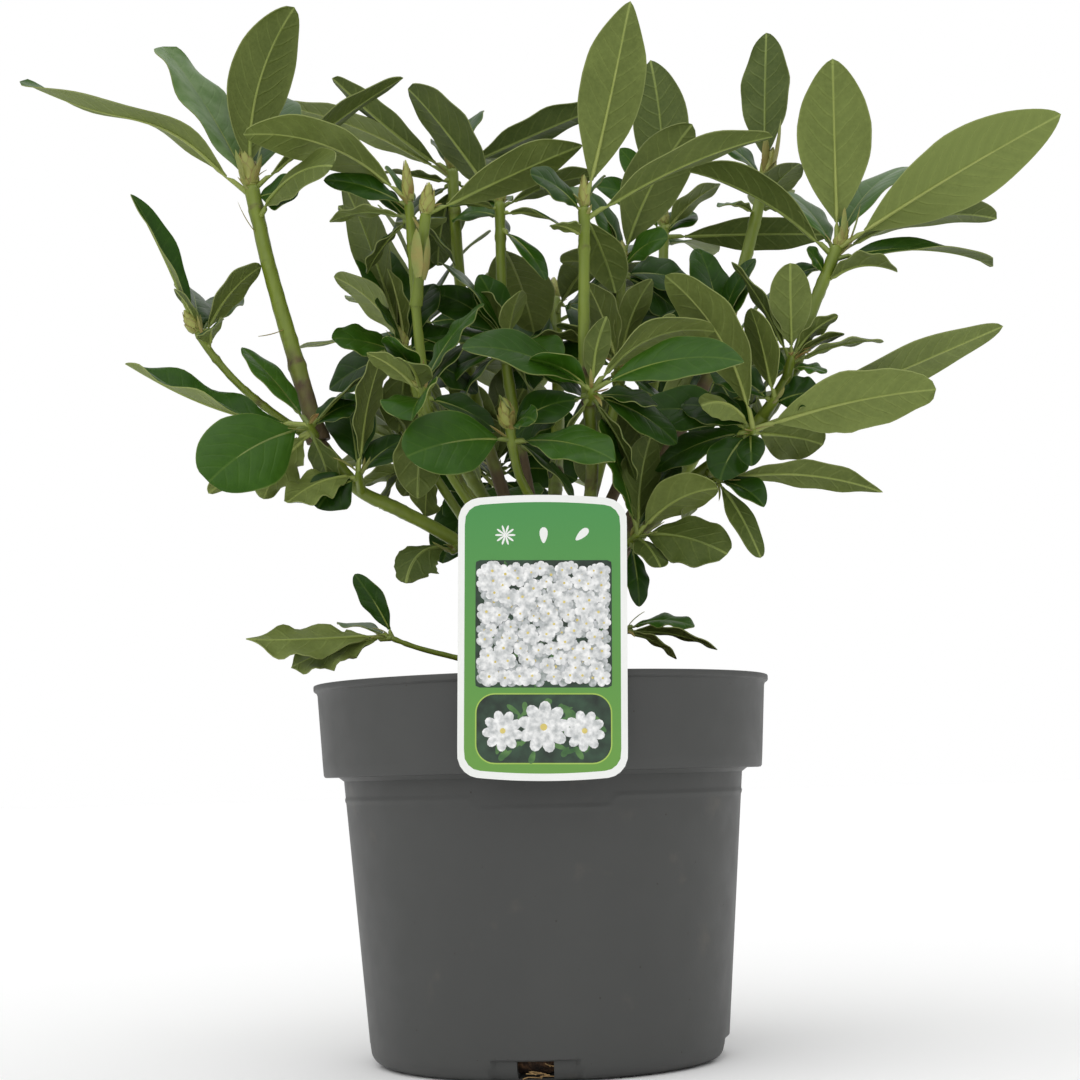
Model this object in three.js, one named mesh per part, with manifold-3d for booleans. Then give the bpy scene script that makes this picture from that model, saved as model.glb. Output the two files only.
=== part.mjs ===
// A young rhododendron in its round nursery pot. Millimetres, +Z up, origin at the centre of the pot's flat
// underside. +X is the plant's right-hand side and -Y its front, where the plant label hangs on the rim.
import * as THREE from "three";
import { mergeVertices } from "three/addons/utils/BufferGeometryUtils.js";
import Module from "manifold-3d";

const wasm = await Module();
wasm.setup();

// Driving dimensions.
const GAP = 0.3; // clearance between neighbouring pieces
const POT = {
  height: 187, lipRadius: 115, lipDepth: 3.5, collarTop: 113, collarBottom: 110.5, collarFoot: 141,
  wallTop: 100.5, wallBottom: 88.6, footRadius: 81, footRound: 8, wall: 2, floor: 3, sides: 40,
};
const DRAIN = {
  count: 4, firstAt: -4.5, width: 46, topWidth: 40, height: 10, depth: 2.2, cutLength: 20,
  holeWidth: 18, holeLow: 1.6, holeHigh: 9.6, holeLength: 16,
}; // firstAt is in degrees from the front
const SOIL = { edge: 170, crown: 172, flat: 40, clear: 0.5 };
const LABEL = {
  width: 77, height: 130, low: 137, thick: 0.9, corner: 9, bulge: 2.4, lean: 1.5, right: 1.6, front: 116.2,
  tongue: 17, tongueTop: 2, tongueLow: 173, tongueIn: 3.4,
};
const TRUNK = {
  foot: [1, 4], head: [7, 0], top: 226, footRadius: 11.5, topRadius: 8.5, flare: 5, flareHeight: 14,
  sides: 12, levels: [0, 0.12, 0.3, 0.65, 1], dome: 2,
};
const LIMB = { sides: 6, step: 32 }; // a limb's section, and the length of one of its straight stretches
const STUB = { whorl: 30, twig: 12 }; // how far below its tip a mass of foliage takes over from its limb
const LEAF = {
  thick: 0.012, thinnest: 1.1, petiole: 0.13, stalk: 2.6, stalkThick: 1.8, fold: 0.1,
  rings: [0.25, 0.55, 0.85],
};
// The leaves that the rule places: their rise, length and place below the tip go from the first value, for
// the lowest leaf, to the second, for the highest, each spread by its own chance amount.
const FILL = {
  turnSpread: 24, rise: [-8, 66], riseSpread: 20, length: [96, 78], lengthSpread: 16, down: [24, 3],
  slender: 0.31, slenderSpread: 0.06, rollSpread: 24, arch: 0.05, archSpread: 0.08,
};
const CROWN = { right: 272, left: -262, front: -185, back: 225, low: 184, high: 560 };
const GOLDEN = 137.5; // degrees from one leaf to the next round the stem
const LOWEST_LEAF = 0.8; // the lowest leaf's place on its mass's stem, as a share of it down from the tip
const ACROSS = new THREE.Vector3(0.6, 0.8, 0); // where the corners of a limb's section are counted from
const BUD = { root: -0.2, rings: [[-0.12, 0.55], [0.12, 1], [0.5, 0.8]] }; // along and across, as shares

const COLOURS = {
  pot: 0x505150, soil: 0x3a2a20, label: 0x58964a, bark: 0x6a5640, wood: 0x7d8a45, leaf: 0x4a6b30,
};

// Limbs: the point where each leaves its parent, the points it passes and its tip, then its radii at root and
// tip. A limb that carries foliage ends a STUB below its tip, where the mass goes on along the same line.
const LIMBS = {
  left_bough: {
    path: [
      [4, -1, 221], [-41, -7, 259], [-69, -14, 275], [-89, -20, 285], [-100, -25, 299], [-110, -29, 311],
    ],
    thick: [5.4, 4.2],
  },
  left_top_bough: {
    path: [[-108, -28, 309], [-118, -28, 346], [-133.5, -24, 404], [-142, -20, 445]],
    thick: [4.8, 3.7], whorl: true,
  },
  left_outer_bough: {
    path: [[-105, -27, 305], [-136, -32, 328], [-149, -33, 340], [-162, -35, 356], [-168, -36, 366]],
    thick: [2.8, 2.3], whorl: true,
  },
  low_left_twig: {
    path: [[-4, 0, 190], [-40, -12, 199], [-62, -18, 205], [-77, -21, 211]],
    thick: [1.6, 1.2],
  },
  low_right_twig: { path: [[6, -2, 192], [30, -20, 204], [44, -30, 211]], thick: [1.6, 1.2] },
  right_bough: {
    path: [
      [10, -3, 222], [52, -12, 262], [83, -18, 288], [106, -24, 305], [130, -26, 337], [143, -23, 371],
      [158, -20, 405],
    ],
    thick: [6.4, 3.6], whorl: true,
  },
  back_right_bough: {
    path: [[11, 3, 221], [52, 20, 275], [77, 27, 319], [96, 40, 354], [111, 50, 394], [132, 60, 466]],
    thick: [5.4, 3.7], whorl: true,
  },
  centre_bough: {
    path: [[9, -4, 223], [27, -20, 275], [28, -42, 314], [26, -50, 341], [28, -50, 421]],
    thick: [4.6, 3.4], whorl: true,
  },
  left_centre_bough: {
    path: [[2, -4, 223], [-28, -20, 268], [-50, -33, 315], [-56, -37, 355], [-60, -40, 429]],
    thick: [4.4, 3.1], whorl: true,
  },
  rear_left_stem: {
    path: [[4, 3, 224], [-18, 18, 290], [-33, 30, 350], [-38, 36, 408], [-41, 40, 469]],
    thick: [4, 3.2], whorl: true,
  },
  middle_stem: {
    path: [[7, 2, 225], [-6, 6, 300], [-14, 8, 360], [-15, 10, 442]],
    thick: [3.8, 2.9], whorl: true,
  },
  right_centre_stem: {
    path: [[10, 1, 224], [30, 12, 285], [45, 19, 345], [49, 25, 411]],
    thick: [3.6, 2.9], whorl: true,
  },
  rear_right_stem: {
    path: [[9, 4, 223], [38, 40, 280], [66, 74, 350], [74, 88, 403], [77, 98, 450]],
    thick: [4, 3.1], whorl: true,
  },
  front_stem: {
    path: [[6, -5, 222], [4, -32, 262], [-8, -58, 286], [-12, -70, 308]],
    thick: [3.4, 2.8], whorl: true,
  },
  front_left_stem: {
    path: [[2, -4, 219], [-22, -36, 258], [-44, -62, 292], [-54, -74, 328]],
    thick: [3.2, 2.6], whorl: true,
  },
  left_inner_stem: {
    path: [[2, 1, 222], [-26, 0, 272], [-52, -4, 310], [-66, -6, 362]],
    thick: [3.4, 2.6], whorl: true,
  },
  left_low_stem: {
    path: [[1, 1, 219], [-22, 6, 250], [-40, 10, 276], [-58, 14, 304], [-66, 15, 312]],
    thick: [2.8, 2.2], whorl: true,
  },
  back_left_stem: {
    path: [[4, 5, 221], [-24, 46, 280], [-52, 88, 340], [-64, 112, 402]],
    thick: [4.2, 3], whorl: true,
  },
  back_stem: {
    path: [[7, 6, 222], [10, 56, 285], [14, 104, 350], [14, 132, 418]],
    thick: [4.4, 3.1], whorl: true,
  },
  back_low_stem: {
    path: [[5, 5, 216], [-6, 60, 246], [-16, 106, 278], [-24, 134, 318]],
    thick: [3.6, 2.7], whorl: true,
  },
  back_right_stem: {
    path: [[10, 5, 218], [56, 62, 268], [92, 104, 320], [108, 124, 372]],
    thick: [4.2, 3], whorl: true,
  },
};

// Masses of foliage, each at the end of a limb or on a short twig of its own: `on` a limb, `at` a share of
// its length, going `out`. Each leaf of `leaves` is one of those that carry the crown's outline: how far it
// reaches to the right, back and up from its foot, its width, its roll in degrees about its own rib (positive
// turns the upper face towards the front on a leaf that points right), its arch as a share of its length, and
// how far below the tip it leaves the stem. `fill` gives the count, the sector in degrees, the seed and, where
// it isn't the usual one, the steepest rise of the leaves that the rule places by itself. `bud` is its length
// and radius.
const MASSES = {
  left_top_leaves: {
    limb: "left_top_bough", bud: [22, 5.5], leaves: [
      [24, -10, 92, 36, -30, 0.11, 2], [-48, 14, 86, 28, -24, 0.03, 6], [-118, -8, 64, 28, 6, 0.05, 8],
      [44, -56, 10, 32, 60, 0.12, 20], [77, 22, 66, 26, -12, 0.03, 4], [3, 62, 73, 28, 0, 0.06, 3],
    ],
  },
  left_outer_leaves: {
    limb: "left_outer_bough", bud: [12, 3.4], leaves: [
      [-32, -12, 71, 24, 6, 0.02, 4], [28, 14, 41, 24, -40, 0.08, 6], [-10, 36, 33, 26, 37, 0.1, 3],
      [-12, -8, 24, 12, -5, 0.1, 5], [5, -20, 7, 17, 37, 0.2, 12], [7, 58, 34, 26, 0, 0.06, 4],
    ],
  },
  left_fork_leaves: {
    on: "left_bough", at: 0.985, out: [-3, -17, 6], thick: [2.2, 1.6], leaves: [
      [-92, 8, 36, 28, 10, -0.03, 2], [-48, -40, -29, 38, -62, 0.07, 4], [-26, 8, -32, 28, 30, 0.1, 9],
      [-34, 8, 42, 22, -22, 0.03, 2], [32, 14, 31, 18, -5, 0.05, 4], [14, 22, 32, 14, -23, 0.05, 6],
      [-55, 18, -27, 24, 30, 0.03, 8], [26, 14, -20, 22, -20, 0.1, 8],
    ],
  },
  left_side_leaves: {
    on: "left_bough", at: 0.76, out: [0, -16, 8], thick: [2.2, 1.6], leaves: [
      [14, -4, 62, 27, -4, 0.05, 2], [-34, -16, -14, 26, -36, 0.1, 6], [-30, -4, 2, 20, -20, 0.1, 4],
    ],
  },
  left_low_leaves: {
    limb: "left_low_stem", leaves: [
      [-45, 14, 17, 24, 33, 0.08, 2], [-35, 30, 32, 26, 54, 0.08, 5], [-43, -6, -2, 22, 13, 0.05, 9],
      [-34, 4, -9, 24, 9, 0.06, 14], [-2, -14, -27, 24, 115, 0.1, 16], [-17, 14, -9, 22, 15, 0.1, 20],
    ],
  },
  left_inner_leaves: {
    limb: "left_inner_stem", bud: [10, 3.2], leaves: [
      [-37, -16, 7, 27, -46, 0.06, 6], [-37, 8, 42, 26, 34, 0.1, 3], [-31, 16, 93, 36, 65, 0.02, 1],
      [-13, -24, 20, 24, -60, 0.1, 4], [-8, -6, 44, 16, -3, 0.05, 5],
    ], fill: [3, 60, 150, 50],
  },
  low_left_leaves: {
    limb: "low_left_twig", thick: [1.2, 1], leaves: [
      [-69, -12, -1, 27, -42, -0.01, 1], [-50, -2, -14, 24, -38, 0.05, 3], [-14, -8, 30, 20, 36, 0.04, 4],
      [-28, 32, 10, 18, 0, 0.05, 2],
    ],
  },
  under_left_leaves: {
    on: "left_bough", at: 0.38, out: [-4, -13, -6], thick: [1.8, 1.4], leaves: [
      [-29, -14, -19, 24, -38, 0.26, 3],
    ],
  },
  left_centre_leaves: {
    limb: "left_centre_bough", bud: [22, 3.6], leaves: [
      [-81, -14, 34, 33, 25, 0.13, 2], [-41, 4, 1, 18, 2, 0.12, 10], [-35, 28, 32, 24, -7, 0.1, 14],
      [-9, 30, 28, 22, 39, 0.1, 6],
    ], fill: [1, 70, 110, 181, 20],
  },
  bud_shoot: {
    on: "left_centre_bough", at: 0.76, out: [7, -16, 44], thick: [2.6, 2.6], bud: [16, 5.4], leaves: [
      [79, 14, 38, 34, -35, 0.01, 2],
    ],
  },
  rear_left_leaves: {
    limb: "rear_left_stem", bud: [12, 3.2], leaves: [
      [-58, -10, 52, 26, 20, -0.03, 3], [-94, 16, 49, 24, 24, 0.05, 6], [84, 20, 41, 24, -30, 0.01, 2],
      [14, 26, 40, 26, -22, 0.06, 1], [-11, 22, 26, 14, 15, 0.1, 4], [-37, -20, 1, 18, -10, 0.02, 8],
    ], fill: [2, 60, 120, 20, 20],
  },
  middle_leaves: {
    limb: "middle_stem", bud: [16, 3.4], leaves: [
      [-43, 8, 68, 28, 40, 0.02, 3], [52, 16, 22, 22, -20, 0.06, 5], [23, -20, -33, 28, 12, 0.08, 16],
      [34, -10, -12, 22, 2, 0.14, 8], [-26, -14, -1, 20, -7, 0.12, 6], [-25, 24, 7, 26, -34, 0.1, 10],
    ], fill: [2, 60, 120, 9, 20],
  },
  middle_node_leaves: {
    on: "middle_stem", at: 0.6, out: [0, -14, 8], thick: [2.4, 2], leaves: [
      [-34, -4, 44, 34, -18, 0.1, 2], [30, -4, 46, 32, 29, 0.08, 3], [8, -16, 24, 24, 35, 0.08, 2],
      [-48, 10, 10, 26, -34, 0.08, 6], [-15, 4, 28, 22, 41, 0.08, 3],
      [28, -18, -8, 26, 51, 0.12, 10], [42, 20, 6, 26, 0, 0.1, 6],
    ],
  },
  centre_leaves: {
    limb: "centre_bough", bud: [16, 4], leaves: [
      [25, -14, 100, 34, -42, -0.01, 1], [94, -10, 38, 28, -9, 0.05, 8], [-26, -22, 15, 22, -63, 0.1, 5],
      [-11, 14, 32, 16, 53, 0.1, 4], [-16, -12, 3, 18, -1, 0.1, 16], [7, 30, 20, 20, -36, 0.1, 2],
    ], fill: [2, 60, 120, 93, 15],
  },
  centre_node_leaves: {
    on: "centre_bough", at: 0.53, out: [2, -14, 3], thick: [2.6, 2.2], leaves: [
      [72, -24, 8, 32, 52, 0.1, 1], [-62, -30, 18, 34, -48, 0.1, 3], [-30, -20, 13, 19, 24, 0.1, 3],
      [62, 12, 32, 28, -25, 0.16, 3], [8, -8, 36, 18, -32, 0.08, 3], [33, 4, -5, 22, 31, 0.08, 7],
    ],
  },
  right_centre_leaves: {
    limb: "right_centre_stem", bud: [12, 3.2], leaves: [
      [39, -16, 71, 33, -50, 0.06, 2], [-17, -4, 42, 22, -49, 0.08, 4], [-11, 8, 33, 14, 43, 0.06, 5],
      [24, -18, 13, 22, 60, 0.14, 6], [-32, 14, 14, 24, 20, 0.1, 10], [-14, -22, 2, 24, -6, 0.1, 8],
    ], fill: [2, 60, 120, 189, 15],
  },
  right_centre_node_leaves: {
    on: "right_centre_stem", at: 0.66, out: [0, -14, 6], thick: [2.4, 2], leaves: [
      [-15, -4, 43, 30, 14, 0.04, 2], [30, -4, 28, 28, 18, 0.1, 2], [31, 4, 29, 18, -18, 0.06, 6],
      [18, -10, 44, 22, -13, 0.08, 3], [-32, 4, 24, 24, 0, 0.1, 3],
    ],
  },
  rear_right_leaves: {
    limb: "rear_right_stem", bud: [12, 3.2], leaves: [
      [-4, 6, 101, 33, 126, 0.05, 2], [32, -14, 24, 26, -1, 0.08, 5], [-24, -10, 46, 26, -71, 0.08, 4],
      [92, -16, -5, 29, -48, 0.01, 8], [20, 10, 16, 22, 33, 0.1, 8], [-38, -20, 25, 24, -61, 0.16, 8],
    ], fill: [3, 40, 140, 123, 15],
  },
  back_right_leaves: {
    limb: "back_right_bough", bud: [18, 4.2], leaves: [
      [2, 10, 86, 27, 180, 0.02, 1], [-35, 10, 31, 24, -25, 0.12, 5], [21, -20, 19, 28, -4, 0.08, 20],
      [-22, -14, 1, 16, -11, 0.14, 24], [15, 10, -1, 16, -3, 0.1, 18],
    ], fill: [1, 70, 110, 128, 15],
  },
  back_right_node_leaves: {
    on: "back_right_bough", at: 0.62, out: [0, -14, 8], thick: [2.4, 2], leaves: [
      [-9, 10, 50, 28, -5, 0.06, 3], [13, 8, 34, 28, 14, 0.08, 4], [20, -4, 40, 20, 40, 0.08, 3],
      [-35, -18, -50, 22, 53, 0.1, 10], [-30, -10, -14, 26, -60, 0.1, 6],
    ],
  },
  right_top_leaves: {
    limb: "right_bough", bud: [14, 4], leaves: [
      [-1, -18, 93, 38, -4, 0.02, 1], [115, -14, 64, 41, -57, 0.015, 3], [90, 24, 25, 24, -18, 0.1, 7],
      [80, -12, -7, 24, 28, 0.09, 9], [38, -6, 12, 19, -3, 0.18, 24], [-10, -8, 12, 15, -70, 0.1, 18],
      [45, 34, 54, 28, 6, 0.1, 4], [-70, 22, 54, 33, 16, 0.07, 7], [-22, 22, 40, 28, 0, 0.08, 5],
    ],
  },
  right_side_leaves: {
    on: "right_bough", at: 0.68, out: [2, -10, 12], thick: [2.4, 1.8], leaves: [
      [-1, -18, 44, 22, 10, 0.03, 2], [-28, -8, 50, 20, -8, 0.05, 4], [24, -4, 21, 12, -26, 0.1, 3],
      [27, -6, 13, 14, -5, 0.1, 5], [46, -10, 9, 16, 0, 0.08, 6], [18, -6, -4, 14, 28, 0.1, 8],
    ],
  },
  right_middle_leaves: {
    on: "right_bough", at: 0.59, out: [6, -12, 8], thick: [2.4, 2], leaves: [
      [-11, -10, 45, 30, -19, 0.03, 2],
    ],
  },
  right_front_leaves: {
    on: "right_bough", at: 0.53, out: [3, -16, 3], thick: [2.6, 2.2], leaves: [
      [90, -14, 16, 35, -50, 0.035, 3], [38, 12, -5, 32, -40, 0.04, 6],
      [132, 18, 46, 27, -42, 0.03, 4],
      [-41, -6, 78, 34, 29, 0.1, 1], [-26, -24, 10, 20, -70, 0.2, 6], [-2, -20, -20, 26, 10, 0.1, 6],
    ],
  },
  right_under_leaves: {
    on: "right_bough", at: 0.43, out: [4, -12, -8], thick: [2, 1.6], leaves: [
      [83, -4, -9, 26, -40, 0.1, 3], [20, -12, -42, 18, 32, 0.04, 4], [22, -16, -16, 16, 35, 0.1, 2],
    ],
  },
  low_centre_leaves: {
    on: "right_bough", at: 0.16, out: [14, -18, 10], thick: [2, 1.7], leaves: [
      [40, -14, 21, 28, -32, 0.12, 2], [44, -18, -12, 32, 52, 0.08, 4], [12, -20, -17, 18, 5, 0.1, 6],
      [3, -8, -34, 14, -11, 0.06, 8], [-18, -26, 54, 26, -77, 0.06, 2],
    ],
  },
  low_right_leaves: {
    limb: "low_right_twig", thick: [1.2, 1], leaves: [
      [34, -10, 0, 20, 20, 0.12, 2], [46, -16, -11, 18, -15, 0.08, 4], [26, -6, -15, 14, -17, 0.1, 3],
    ],
  },
  front_leaves: {
    limb: "front_stem", bud: [14, 4.2], leaves: [
      [-49, -28, -11, 34, -68, 0.06, 8], [49, -24, -14, 32, 36, 0.08, 9],
      [12, -18, 2, 14, 51, 0.2, 4], [-4, -8, 15, 12, -42, 0.05, 2],
    ],
  },
  front_left_leaves: {
    limb: "front_left_stem", bud: [8, 3], leaves: [
      [-16, -16, 23, 22, -7, 0.08, 3], [-26, -10, 19, 18, 13, 0.08, 5], [30, 12, 45, 20, 13, 0.06, 3],
      [-5, -24, -14, 30, 17, 0.16, 8], [-7, -24, 12, 22, -24, 0.14, 5], [21, 18, 30, 22, 0, 0.08, 6],
    ],
  },
  back_left_leaves: { limb: "back_left_stem", bud: [14, 3.6], leaves: [], fill: [9, -60, 260, 103] },
  back_leaves: { limb: "back_stem", bud: [14, 3.6], leaves: [], fill: [9, -90, 270, 37, 30] },
  back_low_leaves: { limb: "back_low_stem", bud: [12, 3.4], leaves: [], fill: [9, -90, 270, 90] },
  back_right_side_leaves: { limb: "back_right_stem", bud: [14, 3.6], leaves: [], fill: [9, -100, 220, 151] },
};

const point = (list) => new THREE.Vector3(...list);
const radians = (degrees) => (degrees * Math.PI) / 180;
const mix = (a, b, share) => a + (b - a) * share;

// A 32-bit generator, so that the same seed gives the same leaves in any language.
function seeded(seed) {
  let state = seed >>> 0;
  return () => {
    state = (state + 0x6d2b79f5) >>> 0;
    let t = Math.imul(state ^ (state >>> 15), state | 1);
    t = (t + Math.imul(t ^ (t >>> 7), t | 61)) ^ t;
    return ((t ^ (t >>> 14)) >>> 0) / 4294967296;
  };
}

// A closed solid through rings of points, each ring turning anticlockwise about the way forward.
function loft(rings, first, last) {
  const count = rings[0].length;
  const places = [first, ...rings.flat(), last];
  const end = places.length - 1;
  const faces = [];
  for (let j = 0; j < count; j++) {
    const next = (j + 1) % count;
    faces.push(0, 1 + next, 1 + j);
    for (let i = 0; i < rings.length - 1; i++) {
      const a = 1 + i * count + j;
      const b = 1 + i * count + next;
      faces.push(a, b, b + count, a, b + count, a + count);
    }
    const row = 1 + (rings.length - 1) * count;
    faces.push(end, row + j, row + next);
  }
  return new wasm.Manifold(new wasm.Mesh({
    numProp: 3,
    vertProperties: new Float32Array(places.flatMap((p) => [p.x, p.y, p.z])),
    triVerts: new Uint32Array(faces),
  }));
}

// A closed three.js shape as a solid.
function solidOf(geometry) {
  const bare = geometry.clone();
  bare.deleteAttribute("normal");
  bare.deleteAttribute("uv");
  const merged = mergeVertices(bare, 1e-4);
  return new wasm.Manifold(new wasm.Mesh({
    numProp: 3,
    vertProperties: merged.attributes.position.array,
    triVerts: new Uint32Array(merged.index.array),
  }));
}

// The one outer body of a solid: hollows that fusing sealed are filled and loose scraps dropped.
function wholeBody(solid) {
  const bodies = solid.decompose();
  return bodies.reduce((best, body) => (body.volume() > best.volume() ? body : best));
}

function meshOf(name, solid, colour, roughness = 0.6) {
  const { vertProperties, triVerts } = solid.getMesh();
  const geometry = new THREE.BufferGeometry();
  geometry.setAttribute("position", new THREE.BufferAttribute(vertProperties, 3));
  geometry.setIndex(new THREE.BufferAttribute(triVerts, 1));
  geometry.computeVertexNormals();
  const material = new THREE.MeshStandardMaterial({ color: colour, roughness, metalness: 0 });
  const mesh = new THREE.Mesh(geometry, material);
  mesh.name = name;
  return mesh;
}

// Two directions across a way forward, turning with it so that a limb isn't twisted.
function across(forward, hint) {
  const side = hint.clone().addScaledVector(forward, -hint.dot(forward)).normalize();
  return [side, new THREE.Vector3().crossVectors(forward, side)];
}

function ringAt(centre, forward, hint, radius, sides) {
  const [a, b] = across(forward, hint);
  return Array.from({ length: sides }, (_, j) => {
    const turn = (2 * Math.PI * j) / sides;
    return centre.clone()
      .addScaledVector(a, radius * Math.cos(turn))
      .addScaledVector(b, radius * Math.sin(turn));
  });
}

// A tapering round limb along a smooth curve.
function limbSolid(curve, thick, grow = 0) {
  const steps = Math.max(2, Math.round(curve.getLength() / LIMB.step));
  const rings = [];
  for (let i = 0; i <= steps; i++) {
    const share = i / steps;
    const radius = mix(thick[0], thick[1], share) + grow;
    rings.push(ringAt(curve.getPointAt(share), curve.getTangentAt(share), ACROSS, radius, LIMB.sides));
  }
  return loft(rings, curve.getPointAt(0), curve.getPointAt(1));
}

// The stretch of a curve between two shares of its length.
function stretch(curve, from, to) {
  const steps = 12;
  return new THREE.CatmullRomCurve3(
    Array.from({ length: steps + 1 }, (_, i) => curve.getPointAt(mix(from, to, i / steps))));
}

// The blade's half width along it, as a share of the widest: it tapers evenly to the stalk and to the tip.
const bladeWidth = (share) => Math.pow(Math.sin(Math.PI * Math.pow(share, 1.12)), 0.72);

// One leaf: a stalk sunk in its stem, then a blade folded a little along its rib and arching as it goes.
function leafSolid(foot, leaf) {
  const reach = new THREE.Vector3(...leaf.reach);
  const length = reach.length();
  const forward = reach.clone().normalize();
  const flat = Math.hypot(forward.x, forward.y);
  const rising = new THREE.Vector3(-forward.z * (forward.x / flat), -forward.z * (forward.y / flat), flat);
  const side = new THREE.Vector3().crossVectors(forward, rising);
  const roll = radians(leaf.roll);
  const upper = rising.clone().multiplyScalar(Math.cos(roll)).addScaledVector(side, Math.sin(roll));
  const cross = new THREE.Vector3().crossVectors(forward, upper);
  const place = (share) => {
    const hump = 4 * share * (1 - share) * length;
    return foot.clone().addScaledVector(reach, share).addScaledVector(rising, hump * leaf.arch)
      .addScaledVector(side, hump * leaf.bow);
  };
  const half = Math.max(LEAF.thick * length, LEAF.thinnest) / 2;
  const section = (share, width, thick, fold) => {
    const centre = place(share);
    return [
      centre.clone().addScaledVector(cross, -width).addScaledVector(upper, fold),
      centre.clone().addScaledVector(upper, thick),
      centre.clone().addScaledVector(cross, width).addScaledVector(upper, fold),
      centre.clone().addScaledVector(upper, -thick),
    ];
  };
  const rings = [section(LEAF.petiole, LEAF.stalk / 2, Math.max(half, LEAF.stalkThick / 2), 0)];
  for (const blade of LEAF.rings) {
    const width = (leaf.width / 2) * bladeWidth(blade);
    rings.push(section(mix(LEAF.petiole, 1, blade), width, half, LEAF.fold * width));
  }
  return loft(rings, place(0), place(1));
}

// The leaves that the rule places: each turned by the golden angle from the last, the low ones flatter than
// the high. A sector keeps them to the side that it names.
function filledLeaves([count, from, to, seed, steepest = FILL.rise[1]]) {
  const random = seeded(seed);
  const chance = (spread) => spread * (random() - 0.5);
  const start = mix(from, to, random());
  return Array.from({ length: count }, (_, k) => {
    const share = count > 1 ? k / (count - 1) : 0.5;
    const turned = (start - from + GOLDEN * k + chance(FILL.turnSpread)) % (to - from);
    const turn = radians(from + turned);
    const rise = radians(mix(FILL.rise[0], steepest, share) + chance(FILL.riseSpread));
    const length = mix(...FILL.length, share) + chance(FILL.lengthSpread);
    const reach = [Math.cos(turn) * Math.cos(rise), Math.sin(turn) * Math.cos(rise), Math.sin(rise)];
    return {
      reach: reach.map((part) => part * length),
      width: length * (FILL.slender + FILL.slenderSpread * random()),
      roll: chance(FILL.rollSpread),
      arch: FILL.arch + FILL.archSpread * random(),
      down: mix(...FILL.down, share),
      bow: 0,
    };
  });
}

const namedLeaf = ([right, back, up, width, roll, arch, down, bow = 0]) =>
  ({ reach: [right, back, up], width, roll, arch, down, bow });

// Everything placed so far, with its owner, for the rule that no leaf touches a neighbour.
const taken = [];
function touches(solid, owner) {
  const box = solid.boundingBox();
  return taken.some((other) =>
    other.owner !== owner
    && [0, 1, 2].every((i) => box.min[i] < other.box.max[i] + GAP && box.max[i] > other.box.min[i] - GAP)
    && solid.minGap(other.solid, 2 * GAP) < GAP);
}

const take = (solid, owner) => taken.push({ solid, owner, box: solid.boundingBox() });

function leavesCrown(solid) {
  const { min, max } = solid.boundingBox();
  return min[0] < CROWN.left || max[0] > CROWN.right || min[1] < CROWN.front || max[1] > CROWN.back
    || min[2] < CROWN.low || max[2] > CROWN.high;
}

// A solid cut clear of every limb that it meets, apart from the limb whose line it goes on.
const curves = {};
const limbReach = (limb, grow) =>
  limbSolid(stretch(limb.curve, 0, limb.end), [limb.thick[0], mix(...limb.thick, limb.end)], grow);
function clearOfLimbs(solid, besides) {
  const cut = Object.entries(curves).filter(([name]) => name !== besides);
  return cut.reduce((rest, [, limb]) => rest.subtract(limbReach(limb, GAP)), solid);
}

// What a mass of foliage starts from: its stem, cut clear of the limbs around it, and the bud at its tip.
function massCore(name, mass, curve, thick) {
  const core = [wholeBody(clearOfLimbs(limbSolid(curve, thick), mass.limb))];
  if (mass.bud) {
    const [length, radius] = mass.bud;
    const forward = curve.getTangentAt(1);
    const along = (share) => curve.getPointAt(1).addScaledVector(forward, share * length);
    const rings = BUD.rings.map(([share, wide]) =>
      ringAt(along(share), forward, ACROSS, radius * wide, LIMB.sides));
    core.push(loft(rings, along(BUD.root), along(1)));
  }
  for (const solid of core) take(solid, name);
  return core;
}

// The leaves of a mass fused on to its core. One that would touch a neighbour or leave the crown is skipped.
function massSolid(name, mass, curve, core) {
  const total = curve.getLength();
  const parts = [...core];
  const leaves = [...mass.leaves.map(namedLeaf), ...(mass.fill ? filledLeaves(mass.fill) : [])];
  for (const leaf of leaves) {
    const foot = curve.getPointAt(1 - Math.min(leaf.down / total, LOWEST_LEAF));
    const solid = leafSolid(foot, leaf);
    if (!touches(solid, name) && !leavesCrown(solid)) {
      parts.push(solid);
      take(solid, name);
    }
  }
  return wholeBody(wasm.Manifold.union(parts));
}

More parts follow.
